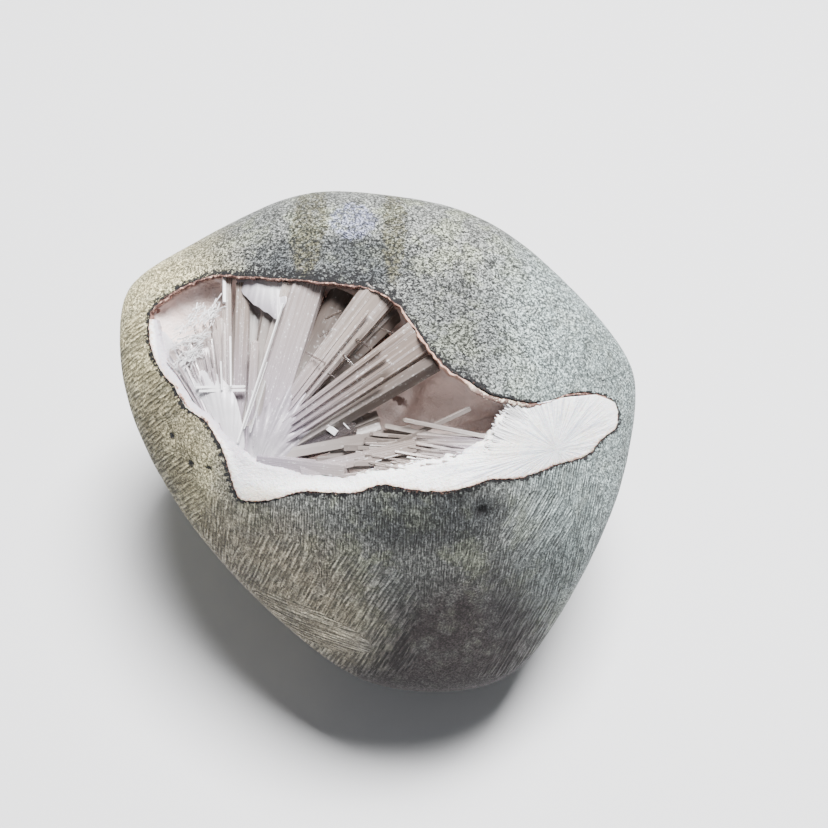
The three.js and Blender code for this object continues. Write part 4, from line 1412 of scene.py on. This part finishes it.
    def tuft(self) -> bpy.types.Object:
        """Makes the ragged white needle tips where the right-hand mass meets the hollow."""
        bundle = Bundle(6, 2, 48)
        bundle.add_sheaves(
            Sheaf(150, ((16.0, -1.4, 0.5), (18.2, 3.2, 0.5)), ((12.3, -0.6, 0.75), (15.8, 5.0, 0.6)),
                  0.17, 0.15, 50, 0.4, 0.2, 0.2, tone=0.0),
            Sheaf(120, ((15.8, -1.2, 1.2), (18.0, 3.2, 1.2)), ((12.1, -0.4, 1.5), (15.5, 4.9, 1.4)),
                  0.2, 0.18, 50, 0.4, 0.2, 0.2, tone=0.1),
        )
        return self.piece("tuft_tips", bundle, Clarity.WHITE)

    def fringe(self) -> bpy.types.Object:
        """Makes the long white needles that blur the seam's upper edge."""
        bundle = Bundle(6, 2, 50)
        rng = bundle.rng
        rims, edges, _ = Seam().crossing(np.sort(rng.uniform(25.2, 29.0, 46)))
        crystals = []
        for rim, edge in zip(rims, edges):
            turn = rng.normal(0.0, 0.06) + (0.19 if edge[0] < 2.0 else -0.12)
            way = np.array([math.cos(turn), math.sin(turn)]) * rng.choice([-1.0, 1.0])
            inset = rng.uniform(-0.08, 0.4)
            start = edge + (rim - edge) * inset - way * rng.uniform(1.5, 3.5)
            end = start + way * rng.uniform(4.0, 8.0)
            thick = rng.uniform(0.1, 0.2)
            deep = 1.0 - 1.3 * max(inset, 0.0) + rng.uniform(0.0, 0.25)
            crystals.append(Crystal((*start, deep), (*end, deep + rng.uniform(0.0, 0.3)), thick * 1.8, thick,
                                    rng.uniform(-30, 30), 0.2, tone=0.0))
        bundle.add(*crystals)
        return self.piece("seam_fringe", bundle, Clarity.SILKY)

    def fuzz(self) -> bpy.types.Object:
        """Makes the fuzzy white patches of tiny needles on the left fan."""
        bundle = Bundle(6, 2, 53)
        rng = bundle.rng
        drifts = (((-23.8, 13.2), (-21.0, 16.4), 0.5), ((-24.4, 11.8), (-20.4, 12.9), 0.5),
                  ((-23.8, 9.4), (-21.0, 11.2), 0.5), ((-20.6, 15.0), (-19.2, 16.6), 1.0))
        crystals = []
        for start, end, depth in drifts:
            start, end = np.array(start), np.array(end)
            along = (end - start) / np.linalg.norm(end - start)
            for share in rng.uniform(0.0, 1.0, 90):
                at = start + (end - start) * share + rng.normal(0.0, 0.42, 2)
                way = along * rng.choice([-1.0, 1.0]) + rng.normal(0.0, 0.4, 2)
                deep = depth + rng.uniform(0.1, 0.8)
                tip = at + way * rng.uniform(0.3, 0.9)
                wide = rng.uniform(0.06, 0.18)
                crystals.append(Crystal((*at, deep), (*tip, deep - rng.uniform(-0.1, 0.2)), wide, 0.07,
                                        rng.uniform(0, 90), 0.05, tone=0.0))
        bundle.add(*crystals)
        return self.piece("fuzzy_needles", bundle, Clarity.WHITE)

    def masses(self) -> list[bpy.types.Object]:
        """Makes the milky masses that the fans' feet are sunk in, and the wedge from the roof."""
        main = Lump(((-16.6, -3.8), (-13.0, -3.9), (-10.2, -3.1), (-8.8, -1.6), (-8.0, 0.2), (-7.4, 1.8),
                     (-7.4, 3.2), (-8.6, 4.6), (-10.0, 5.6), (-11.8, 5.8), (-13.6, 4.8), (-15.4, 3.4),
                     (-16.8, 1.2), (-17.4, -1.2)), (-14.2, -4.4), 1.6, 1.9, ridges=0.18, milky=0.0,
                    white=(-13.0, -2.4), fingers=0.25)
        left = Lump(((-16.4, -3.8), (-15.2, -0.6), (-15.6, 3.0), (-16.6, 6.0), (-18.6, 8.2), (-21.2, 9.6),
                     (-24.0, 11.6), (-26.4, 13.8), (-27.1, 12.6), (-25.9, 9.6), (-24.0, 7.2), (-22.4, 4.9),
                     (-19.5, 2.8), (-17.9, 0.0)), (-16.6, -3.4), 1.1, 1.1, milky=0.7,
                    white=(-23.5, 8.5))
        wedge = Lump(((-17.0, 20.8), (-13.0, 21.2), (-9.0, 20.8), (-9.8, 18.4), (-10.8, 16.2),
                      (-11.7, 14.5), (-12.5, 15.3), (-13.8, 16.4), (-15.2, 17.3), (-16.2, 18.6)),
                     (-12.5, 28.0), 1.4, 0.7, 0.9, 0.08, 0.12, 0.1, (-12.0, 19.4), 0.03)
        soft = self.material(Clarity.SOFT)
        return [main.build("main_foot", soft, 51), left.build("left_foot", soft, 54),
                wedge.build("roof_wedge", soft, 58)]

    def build(self) -> list[bpy.types.Object]:
        """Makes every piece of the spray."""
        return [
            self.broad_blade(), self.edge_prism(), self.white_edges_and_painted_highlights(), self.striated_sheaf(),
            self.lavender_sheaf(), self.shaded_blades(), self.hidden_blades(), self.left_prisms(), self.left_needles(),
            self.floor_prisms(), self.floor_needles(), self.tuft(), self.fringe(), self.fuzz(),
            *self.masses(), Seam().build(),
        ]


@dataclass
class Seam:
    """The white mass along the rim's left and lower sides and in the hollow's right end."""

    # For points of the rim, by their number along it: the seam's other edge, and how deep that lies
    inner: tuple[tuple[float, Point, float], ...] = (
        (19.0, (29.5, 4.9), 0.0), (20.0, (28.6, 5.35), 0.0), (21.0, (26.8, 5.9), 0.0),
        (22.0, (22.8, 5.55), 0.0), (23.0, (18.8, 4.75), 0.1), (23.5, (16.6, 4.6), 0.5),
        (24.0, (14.4, 3.2), 0.6), (24.5, (13.7, 1.9), 0.7), (25.0, (12.2, 0.2), 0.7),
        (26.0, (9.4, -0.9), 0.8), (27.0, (5.0, -1.7), 0.8), (28.0, (0.9, -2.5), 0.7),
        (29.0, (-3.1, -3.6), 0.8), (30.0, (-8.3, -3.3), 0.9), (31.0, (-10.2, -2.7), 1.0),
        (32.0, (-12.4, -2.2), 1.1), (33.0, (-14.2, -1.4), 1.1), (34.0, (-16.8, 0.4), 1.0),
        (35.0, (-18.9, 3.0), 1.0), (36.0, (-21.7, 5.2), 1.1), (37.0, (-23.2, 7.8), 1.2),
        (38.0, (-25.0, 9.9), 1.3), (39.0, (-26.3, 13.0), 1.2), (39.7, (-26.9, 15.2), 0.8),
    )
    steps: int = 480
    across: int = 36
    depth: float = 4.5
    lobe: Point = (21.5, -0.6)

    def crossing(self, number: np.ndarray) -> tuple[np.ndarray, np.ndarray, np.ndarray]:
        """Finds the seam's two edges.

        Args:
            number: Numbers along the rim.

        Returns:
            The rim point, the point across from it and the depth there, one a number.
        """
        numbers = np.array([row[0] for row in self.inner])
        edge = np.array([row[1] for row in self.inner])
        drop = np.interp(number, numbers, [row[2] for row in self.inner])
        curve = WINDOW.chipped(WINDOW.curve(), 0.12)
        at = number * (len(curve) / len(WINDOW.rim))
        rim = np.stack([np.interp(at, np.arange(len(curve)), curve[:, k]) for k in (0, 1)], axis=1)
        inner = np.stack([np.interp(number, numbers, edge[:, k]) for k in (0, 1)], axis=1)
        return rim, inner, drop

    def build(self) -> bpy.types.Object:
        """Makes the piece."""
        bm = bmesh.new()
        bmesh.ops.create_grid(bm, x_segments=self.steps, y_segments=self.across, size=1.0)
        upper = list(bm.faces)
        made = bmesh.ops.extrude_face_region(bm, geom=upper)["geom"]
        lower = [v for v in made if isinstance(v, bmesh.types.BMVert)]
        bmesh.ops.translate(bm, verts=lower, vec=(0.0, 0.0, -1.0))
        mesh = bpy.data.meshes.new("seam")
        bm.to_mesh(mesh)
        bm.free()
        grid = read_places(mesh)
        u, v = (grid[:, 0] + 1) / 2, (grid[:, 1] + 1) / 2
        number = self.inner[0][0] + (self.inner[-1][0] - self.inner[0][0]) * u
        rim, inner, drop = self.crossing(number)
        wobble = np.column_stack([inner, np.zeros(len(inner))])
        ragged = 0.22 * smooth_noise(wobble, 0.7, 61) + 0.18 * smooth_noise(wobble, 0.3, 62)
        away = inner - rim
        away /= np.maximum(np.linalg.norm(away, axis=1), 0.2)[:, None]
        free = np.clip((number - 23.2) / 0.3, 0.0, 1.0)
        calm = np.clip((number - 28.2) / 1.0, 0.0, 1.0)
        inner = inner + away * (ragged * free * (1.0 - 0.7 * calm))[:, None]
        xy = rim + (inner - rim) * v[:, None]
        top = grid[:, 2] > -0.5
        places = np.column_stack([xy, STONE.height(xy)])
        sunk = 0.1 + 0.03 * smooth_noise(places, 0.8, 63)
        sunk += drop * v**1.6 + free * 0.3 * np.maximum(v - 0.9, 0) / 0.1
        places[:, 2] -= np.where(top, sunk, self.depth)
        write_places(mesh, to_frame(places))
        spoke = xy - np.array(self.lobe)
        radius = np.linalg.norm(spoke, axis=1)
        angle = np.arctan2(spoke[:, 1], -spoke[:, 0])
        note(mesh, "grain", np.column_stack([angle * 14.0, radius, np.zeros(len(xy))]))
        thin = np.clip((number - 34.0) / 1.0, 0.0, 1.0) * np.clip((38.8 - number) / 0.8, 0.0, 1.0)
        veil = np.clip((v - 0.25 + 0.22 * thin) / (0.4 - 0.28 * thin), 0.0, 1.0)
        steep = np.clip((number - 31.5) / 2.0, 0.0, 1.0) * veil
        soft = 0.8 * calm * np.clip((v - 0.45) / 0.5, 0.0, 1.0)
        note(mesh, "slope", np.maximum(steep, soft))
        note(mesh, "edge", v * np.linalg.norm(inner - rim, axis=1))
        face_outwards(mesh)
        return finished_piece("white_seam", mesh, SeamFinish().make(), "scolecite_spray")


@dataclass
class LodgedNeedle:
    """Two broken needles side by side that lie loose across the left fan."""

    left: Deep = (-20.9, 6.5, 0.6)
    right: Deep = (-15.2, 6.6, 3.0)
    thick: float = 0.38
    apart: float = 0.44

    def build(self) -> bpy.types.Object:
        """Makes the piece."""
        bundle = Bundle(10, 4, 71)
        for side in (-0.5, 0.5):
            shift = side * self.apart
            root = (self.left[0] - shift, self.left[1] + shift, self.left[2])
            tip = (self.right[0], self.right[1] + shift, self.right[2])
            bundle.add(Crystal(root, tip, self.thick, self.thick, 0, 0.2, ridge=0.02, tone=0.0))
        mesh = bundle.mesh("lodged", Milk(least=0.7))
        finish = Clarity.WHITE.value
        return finished_piece("lodged_needles", mesh, finish.make(), "lodged_needle", False)


@dataclass
class Studio:
    """The pale floor, the soft lights and the camera."""

    floor_size: float = 3.0
    lens: float = 60.0
    distance: float = 181.6
    aim: Point = (4.74, 3.55)

    def floor(self) -> None:
        """Lays the floor."""
        bm = bmesh.new()
        bmesh.ops.create_grid(bm, x_segments=2, y_segments=2, size=self.floor_size)
        mesh = bpy.data.meshes.new("studio_floor")
        bm.to_mesh(mesh)
        bm.free()
        mesh.materials.append(FloorFinish().make())
        floor = bpy.data.objects.new("studio_floor", mesh)
        bpy.context.scene.collection.objects.link(floor)

    def light(self, name: str, place: Deep, size: float, power: float) -> None:
        """Hangs one soft square light that faces the specimen.

        Args:
            name: The light's name.
            place: Where it hangs, in metres.
            size: Its side.
            power: Its power in watts.
        """
        data = bpy.data.lights.new(name, "AREA")
        data.size = size
        data.energy = power
        lamp = bpy.data.objects.new(name, data)
        lamp.location = place
        aim = Vector((0.0, 0.0, 0.03)) - Vector(place)
        lamp.rotation_euler = aim.to_track_quat("-Z", "Y").to_euler()
        bpy.context.scene.collection.objects.link(lamp)

    def camera(self) -> None:
        """Sets the camera straight onto the window, as the stone is seen."""
        data = bpy.data.cameras.new("camera")
        data.lens = self.lens
        data.sensor_fit = "HORIZONTAL"
        data.clip_start = 0.01
        eye = bpy.data.objects.new("camera", data)
        place = to_frame(np.array([[self.aim[0], self.aim[1], self.distance]]))[0]
        eye.location = tuple(place)
        eye.rotation_euler = Euler((LAID_BACK, 0.0, 0.0))
        bpy.context.scene.collection.objects.link(eye)
        bpy.context.scene.camera = eye

    def build(self) -> None:
        """Sets the whole studio up."""
        self.camera()
        self.floor()
        self.light("key", (0.09, 0.16, 0.62), 0.26, 21.0)
        self.light("fill", (-0.4, -0.35, 0.5), 0.6, 0.6)
        world = bpy.data.worlds.new("studio")
        world.use_nodes = True
        world.node_tree.nodes["Background"].inputs[0].default_value = (0.9, 0.94, 1.0, 1.0)
        world.node_tree.nodes["Background"].inputs[1].default_value = 0.2
        bpy.context.scene.world = world


def main() -> None:
    """Builds the studio and every piece."""
    logging.basicConfig(level=logging.INFO, format="%(relativeCreated)6d ms %(name)s %(message)s")
    Studio().build()
    Nodule().build()
    Rind().build()
    Spray().build()
    LodgedNeedle().build()
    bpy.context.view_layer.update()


if __name__ == "__main__":
    main()
